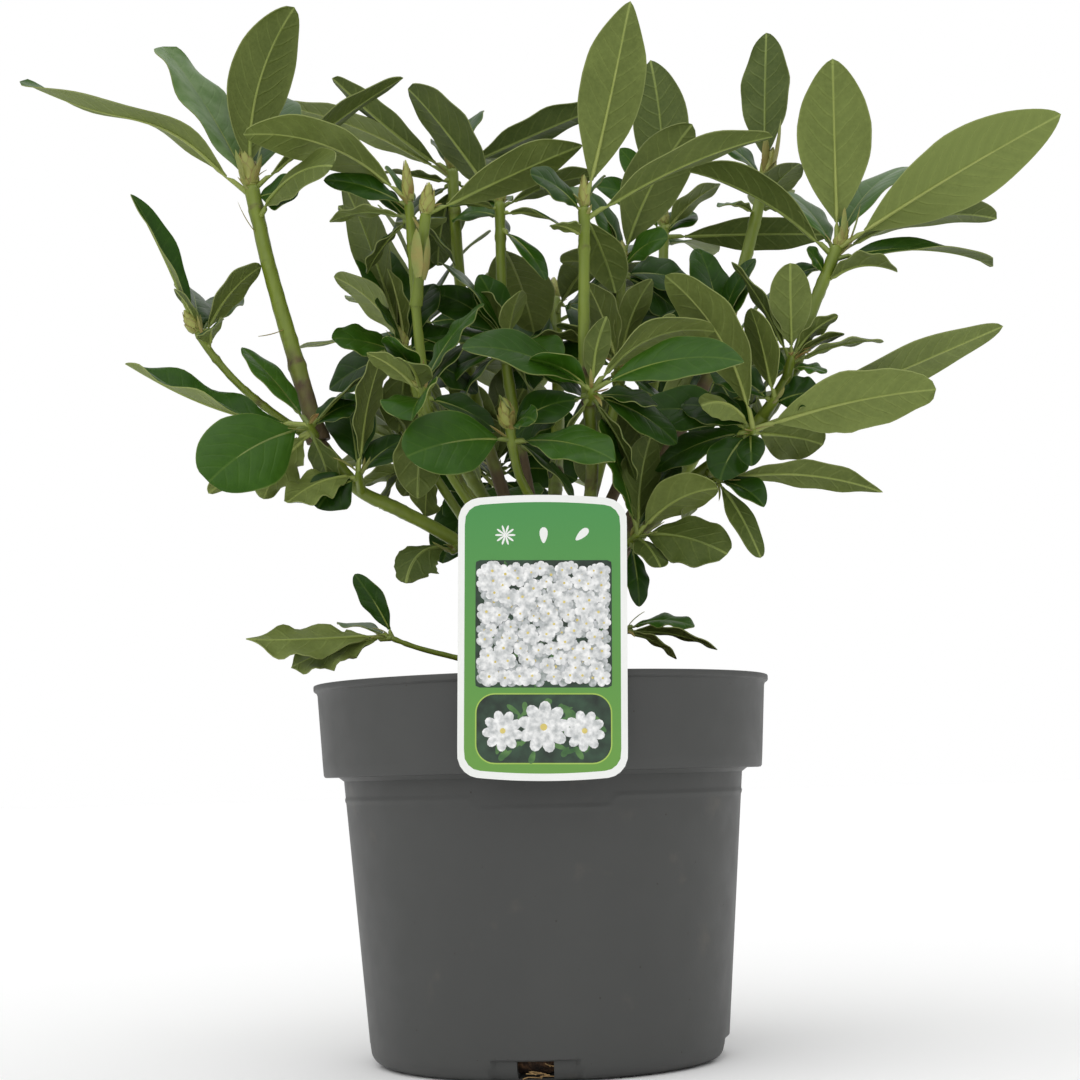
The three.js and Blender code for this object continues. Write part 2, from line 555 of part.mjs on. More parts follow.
// The pot: a turned wall with a deep collar and a thin flared lip, open at the top, with drain holes at its
// foot.
function potSolid() {
  const inner = (outer) => outer - POT.wall;
  const bend = (radius, height, from, to) => [0, 0.5, 1].map((share) => {
    const turn = radians(mix(from, to, share));
    return [radius + POT.footRound * Math.cos(turn), height + POT.footRound * Math.sin(turn)];
  });
  const wallAt = (height) => mix(POT.wallBottom, POT.wallTop, height / POT.collarFoot);
  const collarTop = POT.height - POT.lipDepth;
  const outline = [
    [0, 0], [POT.footRadius, 0], ...bend(wallAt(POT.footRound) - POT.footRound, POT.footRound, -60, 0),
    [wallAt(POT.collarFoot), POT.collarFoot], [POT.collarBottom - 1, POT.collarFoot],
    [POT.collarBottom, POT.collarFoot + 1.5], [POT.collarTop, collarTop], [POT.lipRadius, collarTop + 1],
    [POT.lipRadius, POT.height], [inner(POT.collarTop) - 0.5, POT.height],
    [inner(POT.collarBottom), POT.collarFoot + 4], [inner(wallAt(POT.collarFoot)), POT.collarFoot - 4],
    [inner(wallAt(POT.footRound)), POT.footRound],
    [POT.footRadius - 1, POT.floor], [0, POT.floor],
  ];
  const turned = new THREE.LatheGeometry(outline.map(([r, z]) => new THREE.Vector2(r, z)), POT.sides);
  turned.rotateX(Math.PI / 2);
  let pot = solidOf(turned);
  const recess = new THREE.Shape([
    [-DRAIN.width / 2, -1], [DRAIN.width / 2, -1], [DRAIN.topWidth / 2, DRAIN.height],
    [-DRAIN.topWidth / 2, DRAIN.height],
  ].map(([x, y]) => new THREE.Vector2(x, y)));
  for (let i = 0; i < DRAIN.count; i++) {
    const turn = (DRAIN.firstAt * Math.PI) / 180 + (2 * Math.PI * i) / DRAIN.count;
    // The recess is cut from outside to just under the wall's face, and the hole right through the wall.
    const shallow = new THREE.ExtrudeGeometry(recess, { depth: DRAIN.cutLength, bevelEnabled: false });
    shallow.rotateX(Math.PI / 2).translate(0, -(POT.wallBottom - DRAIN.depth), 0).rotateZ(turn);
    const high = DRAIN.holeHigh - DRAIN.holeLow;
    const hole = new THREE.BoxGeometry(DRAIN.holeWidth, DRAIN.holeLength, high);
    hole.translate(0, -(POT.wallBottom - 4), DRAIN.holeLow + high / 2).rotateZ(turn);
    pot = pot.subtract(solidOf(shallow)).subtract(solidOf(hole));
  }
  return wholeBody(pot);
}

// The potting mix that fills the pot, a little lower at its edge than round the trunk.
function soilSolid() {
  const inner = (outer) => outer - POT.wall - SOIL.clear;
  const outline = [
    [0, POT.floor + GAP], [POT.footRadius - 2, POT.floor + GAP], [inner(POT.wallBottom), POT.footRound + 1],
    [inner(POT.wallTop) - 0.4, POT.collarFoot - 4], [inner(POT.collarBottom) - 0.4, POT.collarFoot + 5],
    [inner(POT.collarBottom) + 0.6, SOIL.edge - 2], [inner(POT.collarBottom) - 4, SOIL.edge],
    [SOIL.flat, SOIL.crown], [0, SOIL.crown],
  ];
  const turned = new THREE.LatheGeometry(outline.map(([r, z]) => new THREE.Vector2(r, z)), POT.sides);
  turned.rotateX(Math.PI / 2);
  return solidOf(turned);
}

// The label: a plate with round corners and softly bowed ends, and a tongue that hooks over the rim.
function labelSolid() {
  const w = LABEL.width / 2;
  const h = LABEL.height / 2;
  const r = LABEL.corner;
  const shape = new THREE.Shape();
  shape.moveTo(-w, -h + LABEL.bulge + r);
  shape.quadraticCurveTo(-w, -h + LABEL.bulge, -w + r, -h + LABEL.bulge * 0.5);
  shape.quadraticCurveTo(0, -h - LABEL.bulge * 0.5, w - r, -h + LABEL.bulge * 0.5);
  shape.quadraticCurveTo(w, -h + LABEL.bulge, w, -h + LABEL.bulge + r);
  shape.lineTo(w, h - LABEL.bulge - r);
  shape.quadraticCurveTo(w, h - LABEL.bulge, w - r, h - LABEL.bulge * 0.5);
  shape.quadraticCurveTo(0, h + LABEL.bulge * 0.5, -w + r, h - LABEL.bulge * 0.5);
  shape.quadraticCurveTo(-w, h - LABEL.bulge, -w, h - LABEL.bulge - r);
  const cut = { depth: LABEL.thick, bevelEnabled: false, curveSegments: 5 };
  const plate = new THREE.ExtrudeGeometry(shape, cut);
  plate.rotateX(Math.PI / 2).translate(0, -LABEL.front + LABEL.thick, 0);
  plate.rotateY(radians(LABEL.lean));
  plate.translate(LABEL.right, 0, LABEL.low + h);
  // The tongue's side view, from the plate's back up over the rim and down inside the collar.
  const t = LABEL.thick;
  const back = LABEL.front - t * 0.5;
  const top = POT.height + GAP + LABEL.tongueTop;
  const inside = POT.collarTop - POT.wall - LABEL.tongueIn;
  const hook = new THREE.Shape([
    [-back, POT.height + GAP], [-inside - t, POT.height + GAP], [-inside - t, LABEL.tongueLow],
    [-inside, LABEL.tongueLow], [-inside, top - 1], [-inside - 1, top], [-back, top],
  ].map(([y, z]) => new THREE.Vector2(y, z)));
  const tongue = new THREE.ExtrudeGeometry(hook, { depth: LABEL.tongue, bevelEnabled: false });
  tongue.rotateX(Math.PI / 2).rotateZ(Math.PI / 2).translate(LABEL.right - LABEL.tongue / 2, 0, 0);
  return wholeBody(solidOf(plate).add(solidOf(tongue)));
}

// The trunk: a short leaning stem that flares to a flat foot on the potting mix.
function trunkSolid(grow = 0) {
  const foot = SOIL.crown + GAP;
  const rings = TRUNK.levels.map((share) => {
    const up = share * (TRUNK.top - foot);
    const flare = TRUNK.flare * Math.max(0, 1 - up / TRUNK.flareHeight) ** 2;
    const [x, y] = [0, 1].map((i) => mix(TRUNK.foot[i], TRUNK.head[i], share));
    const radius = mix(TRUNK.footRadius, TRUNK.topRadius, share) + flare + grow;
    return ringAt(point([x, y, foot + up]), point([0, 0, 1]), point([1, 0, 0]), radius, TRUNK.sides);
  });
  return loft(rings, point([...TRUNK.foot, foot]), point([...TRUNK.head, TRUNK.top + TRUNK.dome + grow]));
}

const plant = new THREE.Group();
const solids = {};
function add(name, solid, colour, roughness) {
  solids[name] = solid;
  plant.add(meshOf(name, solid, colour, roughness));
}

add("pot", potSolid(), COLOURS.pot, 0.55);
add("potting_mix", soilSolid(), COLOURS.soil, 0.95);
add("label", labelSolid(), COLOURS.label, 0.4);
add("trunk", trunkSolid(), COLOURS.bark, 0.8);
for (const name of ["pot", "potting_mix", "label", "trunk"]) take(solids[name], name);

// Limbs, each cut clear of its parent and of the limbs before it.
for (const [name, limb] of Object.entries(LIMBS)) {
  const curve = new THREE.CatmullRomCurve3(limb.path.map(point));
  const length = curve.getLength();
  const carries = Object.values(MASSES).some((mass) => mass.limb === name);
  const stub = limb.whorl ? STUB.whorl : STUB.twig;
  const end = carries ? 1 - stub / length : 1;
  const whole = limbReach({ curve, end, thick: limb.thick }, 0);
  const solid = clearOfLimbs(whole, name).subtract(trunkSolid(GAP));
  curves[name] = { curve, end, length, thick: limb.thick };
  add(name, wholeBody(solid), COLOURS.wood, 0.7);
  take(solids[name], name);
}

// Every mass's stem and bud take their room before any leaf does.
const masses = Object.entries(MASSES).map(([name, mass]) => {
  const limb = curves[mass.limb ?? mass.on];
  let curve = limb.curve;
  if (mass.limb) {
    curve = stretch(limb.curve, limb.end + GAP / limb.length, 1);
  } else {
    const foot = limb.curve.getPointAt(mass.at);
    const tip = foot.clone().add(point(mass.out));
    curve = new THREE.CatmullRomCurve3([foot, foot.clone().lerp(tip, 0.5), tip]);
  }
  const thick = mass.thick ?? [mix(...limb.thick, limb.end), limb.thick[1]];
  return { name, mass, curve, core: massCore(name, mass, curve, thick) };
});
for (const { name, mass, curve, core } of masses) {
  add(name, massSolid(name, mass, curve, core), COLOURS.leaf, 0.5);
}

export default plant;
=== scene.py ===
"""The looks of a young rhododendron in its round nursery pot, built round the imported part.

Lengths are in millimetres in the tables and turned to metres where a mesh is made. +Z is up, +X the plant's
right-hand side and -Y its front, where the plant label hangs on the rim.
"""
import math

import bmesh
import bpy
from mathutils import Color, Matrix, Vector, noise
from mathutils.bvhtree import BVHTree
from mathutils.kdtree import KDTree


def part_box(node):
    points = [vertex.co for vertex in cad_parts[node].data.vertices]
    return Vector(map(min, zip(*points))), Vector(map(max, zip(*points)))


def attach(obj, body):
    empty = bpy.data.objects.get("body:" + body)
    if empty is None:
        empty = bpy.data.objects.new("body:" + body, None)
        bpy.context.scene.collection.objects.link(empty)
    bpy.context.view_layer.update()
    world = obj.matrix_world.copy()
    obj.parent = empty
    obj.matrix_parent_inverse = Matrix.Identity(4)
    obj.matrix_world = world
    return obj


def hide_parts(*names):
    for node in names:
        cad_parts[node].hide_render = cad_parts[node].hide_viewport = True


bl_info = {
    "name": "Rhododendron in a nursery pot",
    "version": (1, 0, 0),
    "blender": (4, 5, 0),
    "location": "3D View > Sidebar > Shrub",
    "description": "Builds the leaves, stems, buds, pot and label of a young potted shrub",
    "category": "Add Mesh",
}

MM = 0.001
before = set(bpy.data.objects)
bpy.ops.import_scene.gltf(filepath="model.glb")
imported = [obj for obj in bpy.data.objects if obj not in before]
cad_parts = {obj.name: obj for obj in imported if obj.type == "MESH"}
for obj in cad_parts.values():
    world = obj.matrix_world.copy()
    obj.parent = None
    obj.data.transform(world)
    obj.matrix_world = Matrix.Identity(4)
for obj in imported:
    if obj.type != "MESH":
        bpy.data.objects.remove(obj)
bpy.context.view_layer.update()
POT_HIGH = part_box("pot")[1]
LABEL_LOW, LABEL_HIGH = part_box("label")

# The pot's turned profile and its drain recesses.
COLLAR_FOOT = 141
COLLAR_TOP_RADIUS = 113
COLLAR_FOOT_RADIUS = 110.5
WALL_TOP_RADIUS = 100.5
WALL_FOOT_RADIUS = 88.6
FOOT_ROUND = 8
LIP_DEPTH = 3.5
# The first drain recess faces this many degrees from the front, towards +x.
DRAIN_FACING = -4.5
DRAIN = dict(count=4, foot_width=46, top_width=40, height=10, depth=2.2, hole_width=18, hole=(1.6, 9.6))
MIX = dict(foot=3.3, edge=170, crown=172)
LABEL = dict(width=77, height=130, low=137, thick=0.9, corner=9, bulge=2.4, lean=1.5, right=1.6, front=116.2)
TRUNK = dict(foot=(1, 4), head=(7, 0), top=226, foot_radius=11.5, top_radius=8.5, flare=5, flare_height=14)

# Any direction that no stem follows, from which the directions across a stem are worked out.
ACROSS = Vector((0.6, 0.8, 0))

# How the part's own rule shapes and places its leaves.
STUB_SHARE_LOWEST = 0.8
GOLDEN = 137.5
PETIOLE = 0.13
GAP = 0.3
STUB = dict(whorl=30, twig=12)

LIMBS = {
    "left_bough": dict(thick=(5.4, 4.2), whorl=False, wood=0.12, path=[
        (4, -1, 221), (-41, -7, 259), (-69, -14, 275), (-89, -20, 285), (-100, -25, 299), (-110, -29, 311),
    ]),
    "left_top_bough": dict(thick=(4.8, 3.7), wood=0.05, path=[
        (-108, -28, 309), (-118, -28, 346), (-133.5, -24, 404), (-142, -20, 445),
    ]),
    "left_outer_bough": dict(thick=(2.8, 2.3), wood=0.0, path=[
        (-105, -27, 305), (-136, -32, 328), (-149, -33, 340), (-162, -35, 356), (-168, -36, 366),
    ]),
    "low_left_twig": dict(thick=(1.6, 1.2), whorl=False, wood=0.1, path=[
        (-4, 0, 190), (-40, -12, 199), (-62, -18, 205), (-77, -21, 211),
    ]),
    "low_right_twig": dict(thick=(1.6, 1.2), whorl=False, wood=0.1, path=[
        (6, -2, 192), (30, -20, 204), (44, -30, 211),
    ]),
    "right_bough": dict(thick=(6.4, 3.6), wood=0.2, path=[
        (10, -3, 222), (52, -12, 262), (83, -18, 288), (106, -24, 305), (130, -26, 337), (143, -23, 371),
        (158, -20, 405),
    ]),
    "back_right_bough": dict(thick=(5.4, 3.7), wood=0.62, path=[
        (11, 3, 221), (52, 20, 275), (77, 27, 319), (96, 40, 354), (111, 50, 394), (132, 60, 466),
    ]),
    "centre_bough": dict(thick=(4.6, 3.4), wood=0.3, path=[
        (9, -4, 223), (27, -20, 275), (28, -42, 314), (26, -50, 341), (28, -50, 421),
    ]),
    "left_centre_bough": dict(thick=(4.4, 3.1), wood=0.3, path=[
        (2, -4, 223), (-28, -20, 268), (-50, -33, 315), (-56, -37, 355), (-60, -40, 429),
    ]),
    "rear_left_stem": dict(thick=(4, 3.2), wood=0.35, path=[
        (4, 3, 224), (-18, 18, 290), (-33, 30, 350), (-38, 36, 408), (-41, 40, 469),
    ]),
    "middle_stem": dict(thick=(3.8, 2.9), wood=0.4, path=[
        (7, 2, 225), (-6, 6, 300), (-14, 8, 360), (-15, 10, 442),
    ]),
    "right_centre_stem": dict(thick=(3.6, 2.9), wood=0.4, path=[
        (10, 1, 224), (30, 12, 285), (45, 19, 345), (49, 25, 411),
    ]),
    "rear_right_stem": dict(thick=(4, 3.1), wood=0.45, path=[
        (9, 4, 223), (38, 40, 280), (66, 74, 350), (74, 88, 403), (77, 98, 450),
    ]),
    "front_stem": dict(thick=(3.4, 2.8), wood=0.2, path=[
        (6, -5, 222), (4, -32, 262), (-8, -58, 286), (-12, -70, 308),
    ]),
    "front_left_stem": dict(thick=(3.2, 2.6), wood=0.2, path=[
        (2, -4, 219), (-22, -36, 258), (-44, -62, 292), (-54, -74, 328),
    ]),
    "left_inner_stem": dict(thick=(3.4, 2.6), wood=0.4, path=[
        (2, 1, 222), (-26, 0, 272), (-52, -4, 310), (-66, -6, 362),
    ]),
    "left_low_stem": dict(thick=(2.8, 2.2), wood=0.3, path=[
        (1, 1, 219), (-22, 6, 250), (-40, 10, 276), (-58, 14, 304), (-66, 15, 312),
    ]),
    "back_left_stem": dict(thick=(4.2, 3), wood=0.35, path=[
        (4, 5, 221), (-24, 46, 280), (-52, 88, 340), (-64, 112, 402),
    ]),
    "back_stem": dict(thick=(4.4, 3.1), wood=0.35, path=[
        (7, 6, 222), (10, 56, 285), (14, 104, 350), (14, 132, 418),
    ]),
    "back_low_stem": dict(thick=(3.6, 2.7), wood=0.3, path=[
        (5, 5, 216), (-6, 60, 246), (-16, 106, 278), (-24, 134, 318),
    ]),
    "back_right_stem": dict(thick=(4.2, 3), wood=0.35, path=[
        (10, 5, 218), (56, 62, 268), (92, 104, 320), (108, 124, 372),
    ]),
}

MASSES = {
    "left_top_leaves": dict(limb="left_top_bough", bud=(22, 5.5), leaves=[
        (24, -10, 92, 36, -30, 0.11, 2), (-48, 14, 86, 28, -24, 0.03, 6), (-118, -8, 64, 28, 6, 0.05, 8),
        (44, -56, 10, 32, 60, 0.12, 20), (77, 22, 66, 26, -12, 0.03, 4), (3, 62, 73, 28, 0, 0.06, 3),
    ]),
    "left_outer_leaves": dict(limb="left_outer_bough", bud=(12, 3.4), leaves=[
        (-32, -12, 71, 24, 6, 0.02, 4), (28, 14, 41, 24, -40, 0.08, 6), (-10, 36, 33, 26, 37, 0.1, 3),
        (-12, -8, 24, 12, -5, 0.1, 5), (5, -20, 7, 17, 37, 0.2, 12), (7, 58, 34, 26, 0, 0.06, 4),
    ]),
    "left_fork_leaves": dict(on="left_bough", at=0.985, out=(-3, -17, 6), thick=(2.2, 1.6), leaves=[
        (-92, 8, 36, 28, 10, -0.03, 2), (-48, -40, -29, 38, -62, 0.07, 4), (-26, 8, -32, 28, 30, 0.1, 9),
        (-34, 8, 42, 22, -22, 0.03, 2), (32, 14, 31, 18, -5, 0.05, 4), (14, 22, 32, 14, -23, 0.05, 6),
        (-55, 18, -27, 24, 30, 0.03, 8), (26, 14, -20, 22, -20, 0.1, 8),
    ]),
    "left_side_leaves": dict(on="left_bough", at=0.76, out=(0, -16, 8), thick=(2.2, 1.6), leaves=[
        (14, -4, 62, 27, -4, 0.05, 2), (-34, -16, -14, 26, -36, 0.1, 6), (-30, -4, 2, 20, -20, 0.1, 4),
    ]),
    "left_low_leaves": dict(limb="left_low_stem", leaves=[
        (-45, 14, 17, 24, 33, 0.08, 2), (-35, 30, 32, 26, 54, 0.08, 5), (-43, -6, -2, 22, 13, 0.05, 9),
        (-34, 4, -9, 24, 9, 0.06, 14), (-2, -14, -27, 24, 115, 0.1, 16), (-17, 14, -9, 22, 15, 0.1, 20),
    ]),
    "left_inner_leaves": dict(limb="left_inner_stem", bud=(10, 3.2), fill=(3, 60, 150, 50), leaves=[
        (-37, -16, 7, 27, -46, 0.06, 6), (-37, 8, 42, 26, 34, 0.1, 3), (-31, 16, 93, 36, 65, 0.02, 1),
        (-13, -24, 20, 24, -60, 0.1, 4), (-8, -6, 44, 16, -3, 0.05, 5),
    ]),
    "low_left_leaves": dict(limb="low_left_twig", thick=(1.2, 1), leaves=[
        (-69, -12, -1, 27, -42, -0.01, 1), (-50, -2, -14, 24, -38, 0.05, 3), (-14, -8, 30, 20, 36, 0.04, 4),
        (-28, 32, 10, 18, 0, 0.05, 2),
    ]),
    "under_left_leaves": dict(on="left_bough", at=0.38, out=(-4, -13, -6), thick=(1.8, 1.4), leaves=[
        (-29, -14, -19, 24, -38, 0.26, 3),
    ]),
    "left_centre_leaves": dict(limb="left_centre_bough", bud=(22, 3.6), fill=(1, 70, 110, 181, 20), leaves=[
        (-81, -14, 34, 33, 25, 0.13, 2), (-41, 4, 1, 18, 2, 0.12, 10), (-35, 28, 32, 24, -7, 0.1, 14),
        (-9, 30, 28, 22, 39, 0.1, 6),
    ]),
    "bud_shoot": dict(on="left_centre_bough", at=0.76, out=(7, -16, 44), thick=(2.6, 2.6), bud=(16, 5.4),
                      leaves=[
        (79, 14, 38, 34, -35, 0.01, 2),
    ]),
    "rear_left_leaves": dict(limb="rear_left_stem", bud=(12, 3.2), fill=(2, 60, 120, 20, 20), leaves=[
        (-58, -10, 52, 26, 20, -0.03, 3), (-94, 16, 49, 24, 24, 0.05, 6), (84, 20, 41, 24, -30, 0.01, 2),
        (14, 26, 40, 26, -22, 0.06, 1), (-11, 22, 26, 14, 15, 0.1, 4), (-37, -20, 1, 18, -10, 0.02, 8),
    ]),
    "middle_leaves": dict(limb="middle_stem", bud=(16, 3.4), fill=(2, 60, 120, 9, 20), leaves=[
        (-43, 8, 68, 28, 40, 0.02, 3), (52, 16, 22, 22, -20, 0.06, 5), (23, -20, -33, 28, 12, 0.08, 16),
        (34, -10, -12, 22, 2, 0.14, 8), (-26, -14, -1, 20, -7, 0.12, 6), (-25, 24, 7, 26, -34, 0.1, 10),
    ]),
    "middle_node_leaves": dict(on="middle_stem", at=0.6, out=(0, -14, 8), thick=(2.4, 2), leaves=[
        (-34, -4, 44, 34, -18, 0.1, 2), (30, -4, 46, 32, 29, 0.08, 3), (8, -16, 24, 24, 35, 0.08, 2),
        (-48, 10, 10, 26, -34, 0.08, 6), (-15, 4, 28, 22, 41, 0.08, 3), (28, -18, -8, 26, 51, 0.12, 10),
        (42, 20, 6, 26, 0, 0.1, 6),
    ]),
    "centre_leaves": dict(limb="centre_bough", bud=(16, 4), fill=(2, 60, 120, 93, 15), leaves=[
        (25, -14, 100, 34, -42, -0.01, 1), (94, -10, 38, 28, -9, 0.05, 8), (-26, -22, 15, 22, -63, 0.1, 5),
        (-11, 14, 32, 16, 53, 0.1, 4), (-16, -12, 3, 18, -1, 0.1, 16), (7, 30, 20, 20, -36, 0.1, 2),
    ]),
    "centre_node_leaves": dict(on="centre_bough", at=0.53, out=(2, -14, 3), thick=(2.6, 2.2), leaves=[
        (72, -24, 8, 32, 52, 0.1, 1), (-62, -30, 18, 34, -48, 0.1, 3), (-30, -20, 13, 19, 24, 0.1, 3),
        (62, 12, 32, 28, -25, 0.16, 3), (8, -8, 36, 18, -32, 0.08, 3), (33, 4, -5, 22, 31, 0.08, 7),
    ]),
    "right_centre_leaves": dict(limb="right_centre_stem", bud=(12, 3.2), fill=(2, 60, 120, 189, 15), leaves=[
        (39, -16, 71, 33, -50, 0.06, 2), (-17, -4, 42, 22, -49, 0.08, 4), (-11, 8, 33, 14, 43, 0.06, 5),
        (24, -18, 13, 22, 60, 0.14, 6), (-32, 14, 14, 24, 20, 0.1, 10), (-14, -22, 2, 24, -6, 0.1, 8),
    ]),
    "right_centre_node_leaves": dict(on="right_centre_stem", at=0.66, out=(0, -14, 6), thick=(2.4, 2), leaves=[
        (-15, -4, 43, 30, 14, 0.04, 2), (30, -4, 28, 28, 18, 0.1, 2), (31, 4, 29, 18, -18, 0.06, 6),
        (18, -10, 44, 22, -13, 0.08, 3), (-32, 4, 24, 24, 0, 0.1, 3),
    ]),
    "rear_right_leaves": dict(limb="rear_right_stem", bud=(12, 3.2), fill=(3, 40, 140, 123, 15), leaves=[
        (-4, 6, 101, 33, 126, 0.05, 2), (32, -14, 24, 26, -1, 0.08, 5), (-24, -10, 46, 26, -71, 0.08, 4),
        (92, -16, -5, 29, -48, 0.01, 8), (20, 10, 16, 22, 33, 0.1, 8), (-38, -20, 25, 24, -61, 0.16, 8),
    ]),
    "back_right_leaves": dict(limb="back_right_bough", bud=(18, 4.2), fill=(1, 70, 110, 128, 15), leaves=[
        (2, 10, 86, 27, 180, 0.02, 1), (-35, 10, 31, 24, -25, 0.12, 5), (21, -20, 19, 28, -4, 0.08, 20),
        (-22, -14, 1, 16, -11, 0.14, 24), (15, 10, -1, 16, -3, 0.1, 18),
    ]),
    "back_right_node_leaves": dict(on="back_right_bough", at=0.62, out=(0, -14, 8), thick=(2.4, 2), leaves=[
        (-9, 10, 50, 28, -5, 0.06, 3), (13, 8, 34, 28, 14, 0.08, 4), (20, -4, 40, 20, 40, 0.08, 3),
        (-35, -18, -50, 22, 53, 0.1, 10), (-30, -10, -14, 26, -60, 0.1, 6),
    ]),
    "right_top_leaves": dict(limb="right_bough", bud=(14, 4), leaves=[
        (-1, -18, 93, 38, -4, 0.02, 1), (115, -14, 64, 41, -57, 0.015, 3), (90, 24, 25, 24, -18, 0.1, 7),
        (80, -12, -7, 24, 28, 0.09, 9), (38, -6, 12, 19, -3, 0.18, 24), (-10, -8, 12, 15, -70, 0.1, 18),
        (45, 34, 54, 28, 6, 0.1, 4), (-70, 22, 54, 33, 16, 0.07, 7), (-22, 22, 40, 28, 0, 0.08, 5),
    ]),
    "right_side_leaves": dict(on="right_bough", at=0.68, out=(2, -10, 12), thick=(2.4, 1.8), leaves=[
        (-1, -18, 44, 22, 10, 0.03, 2), (-28, -8, 50, 20, -8, 0.05, 4), (24, -4, 21, 12, -26, 0.1, 3),
        (27, -6, 13, 14, -5, 0.1, 5), (46, -10, 9, 16, 0, 0.08, 6), (18, -6, -4, 14, 28, 0.1, 8),
    ]),
    "right_middle_leaves": dict(on="right_bough", at=0.59, out=(6, -12, 8), thick=(2.4, 2), leaves=[
        (-11, -10, 45, 30, -19, 0.03, 2),
    ]),
    "right_front_leaves": dict(on="right_bough", at=0.53, out=(3, -16, 3), thick=(2.6, 2.2), leaves=[
        (90, -14, 16, 35, -50, 0.035, 3), (38, 12, -5, 32, -40, 0.04, 6), (132, 18, 46, 27, -42, 0.03, 4),
        (-41, -6, 78, 34, 29, 0.1, 1), (-26, -24, 10, 20, -70, 0.2, 6), (-2, -20, -20, 26, 10, 0.1, 6),
    ]),
    "right_under_leaves": dict(on="right_bough", at=0.43, out=(4, -12, -8), thick=(2, 1.6), leaves=[
        (83, -4, -9, 26, -40, 0.1, 3), (20, -12, -42, 18, 32, 0.04, 4), (22, -16, -16, 16, 35, 0.1, 2),
    ]),
    "low_centre_leaves": dict(on="right_bough", at=0.16, out=(14, -18, 10), thick=(2, 1.7), leaves=[
        (40, -14, 21, 28, -32, 0.12, 2), (44, -18, -12, 32, 52, 0.08, 4), (12, -20, -17, 18, 5, 0.1, 6),
        (3, -8, -34, 14, -11, 0.06, 8), (-18, -26, 54, 26, -77, 0.06, 2),
    ]),
    "low_right_leaves": dict(limb="low_right_twig", thick=(1.2, 1), leaves=[
        (34, -10, 0, 20, 20, 0.12, 2), (46, -16, -11, 18, -15, 0.08, 4), (26, -6, -15, 14, -17, 0.1, 3),
    ]),
    "front_leaves": dict(limb="front_stem", bud=(14, 4.2), leaves=[
        (-49, -28, -11, 34, -68, 0.06, 8), (49, -24, -14, 32, 36, 0.08, 9), (12, -18, 2, 14, 51, 0.2, 4),
        (-4, -8, 15, 12, -42, 0.05, 2),
    ]),
    "front_left_leaves": dict(limb="front_left_stem", bud=(8, 3), leaves=[
        (-16, -16, 23, 22, -7, 0.08, 3), (-26, -10, 19, 18, 13, 0.08, 5), (30, 12, 45, 20, 13, 0.06, 3),
        (-5, -24, -14, 30, 17, 0.16, 8), (-7, -24, 12, 22, -24, 0.14, 5), (21, 18, 30, 22, 0, 0.08, 6),
    ]),
    "back_left_leaves": dict(limb="back_left_stem", bud=(14, 3.6), fill=(9, -60, 260, 103), leaves=[]),
    "back_leaves": dict(limb="back_stem", bud=(14, 3.6), fill=(9, -90, 270, 37, 30), leaves=[]),
    "back_low_leaves": dict(limb="back_low_stem", bud=(12, 3.4), fill=(9, -90, 270, 90), leaves=[]),
    "back_right_side_leaves": dict(limb="back_right_stem", bud=(14, 3.6), fill=(9, -100, 220, 151), leaves=[]),
}

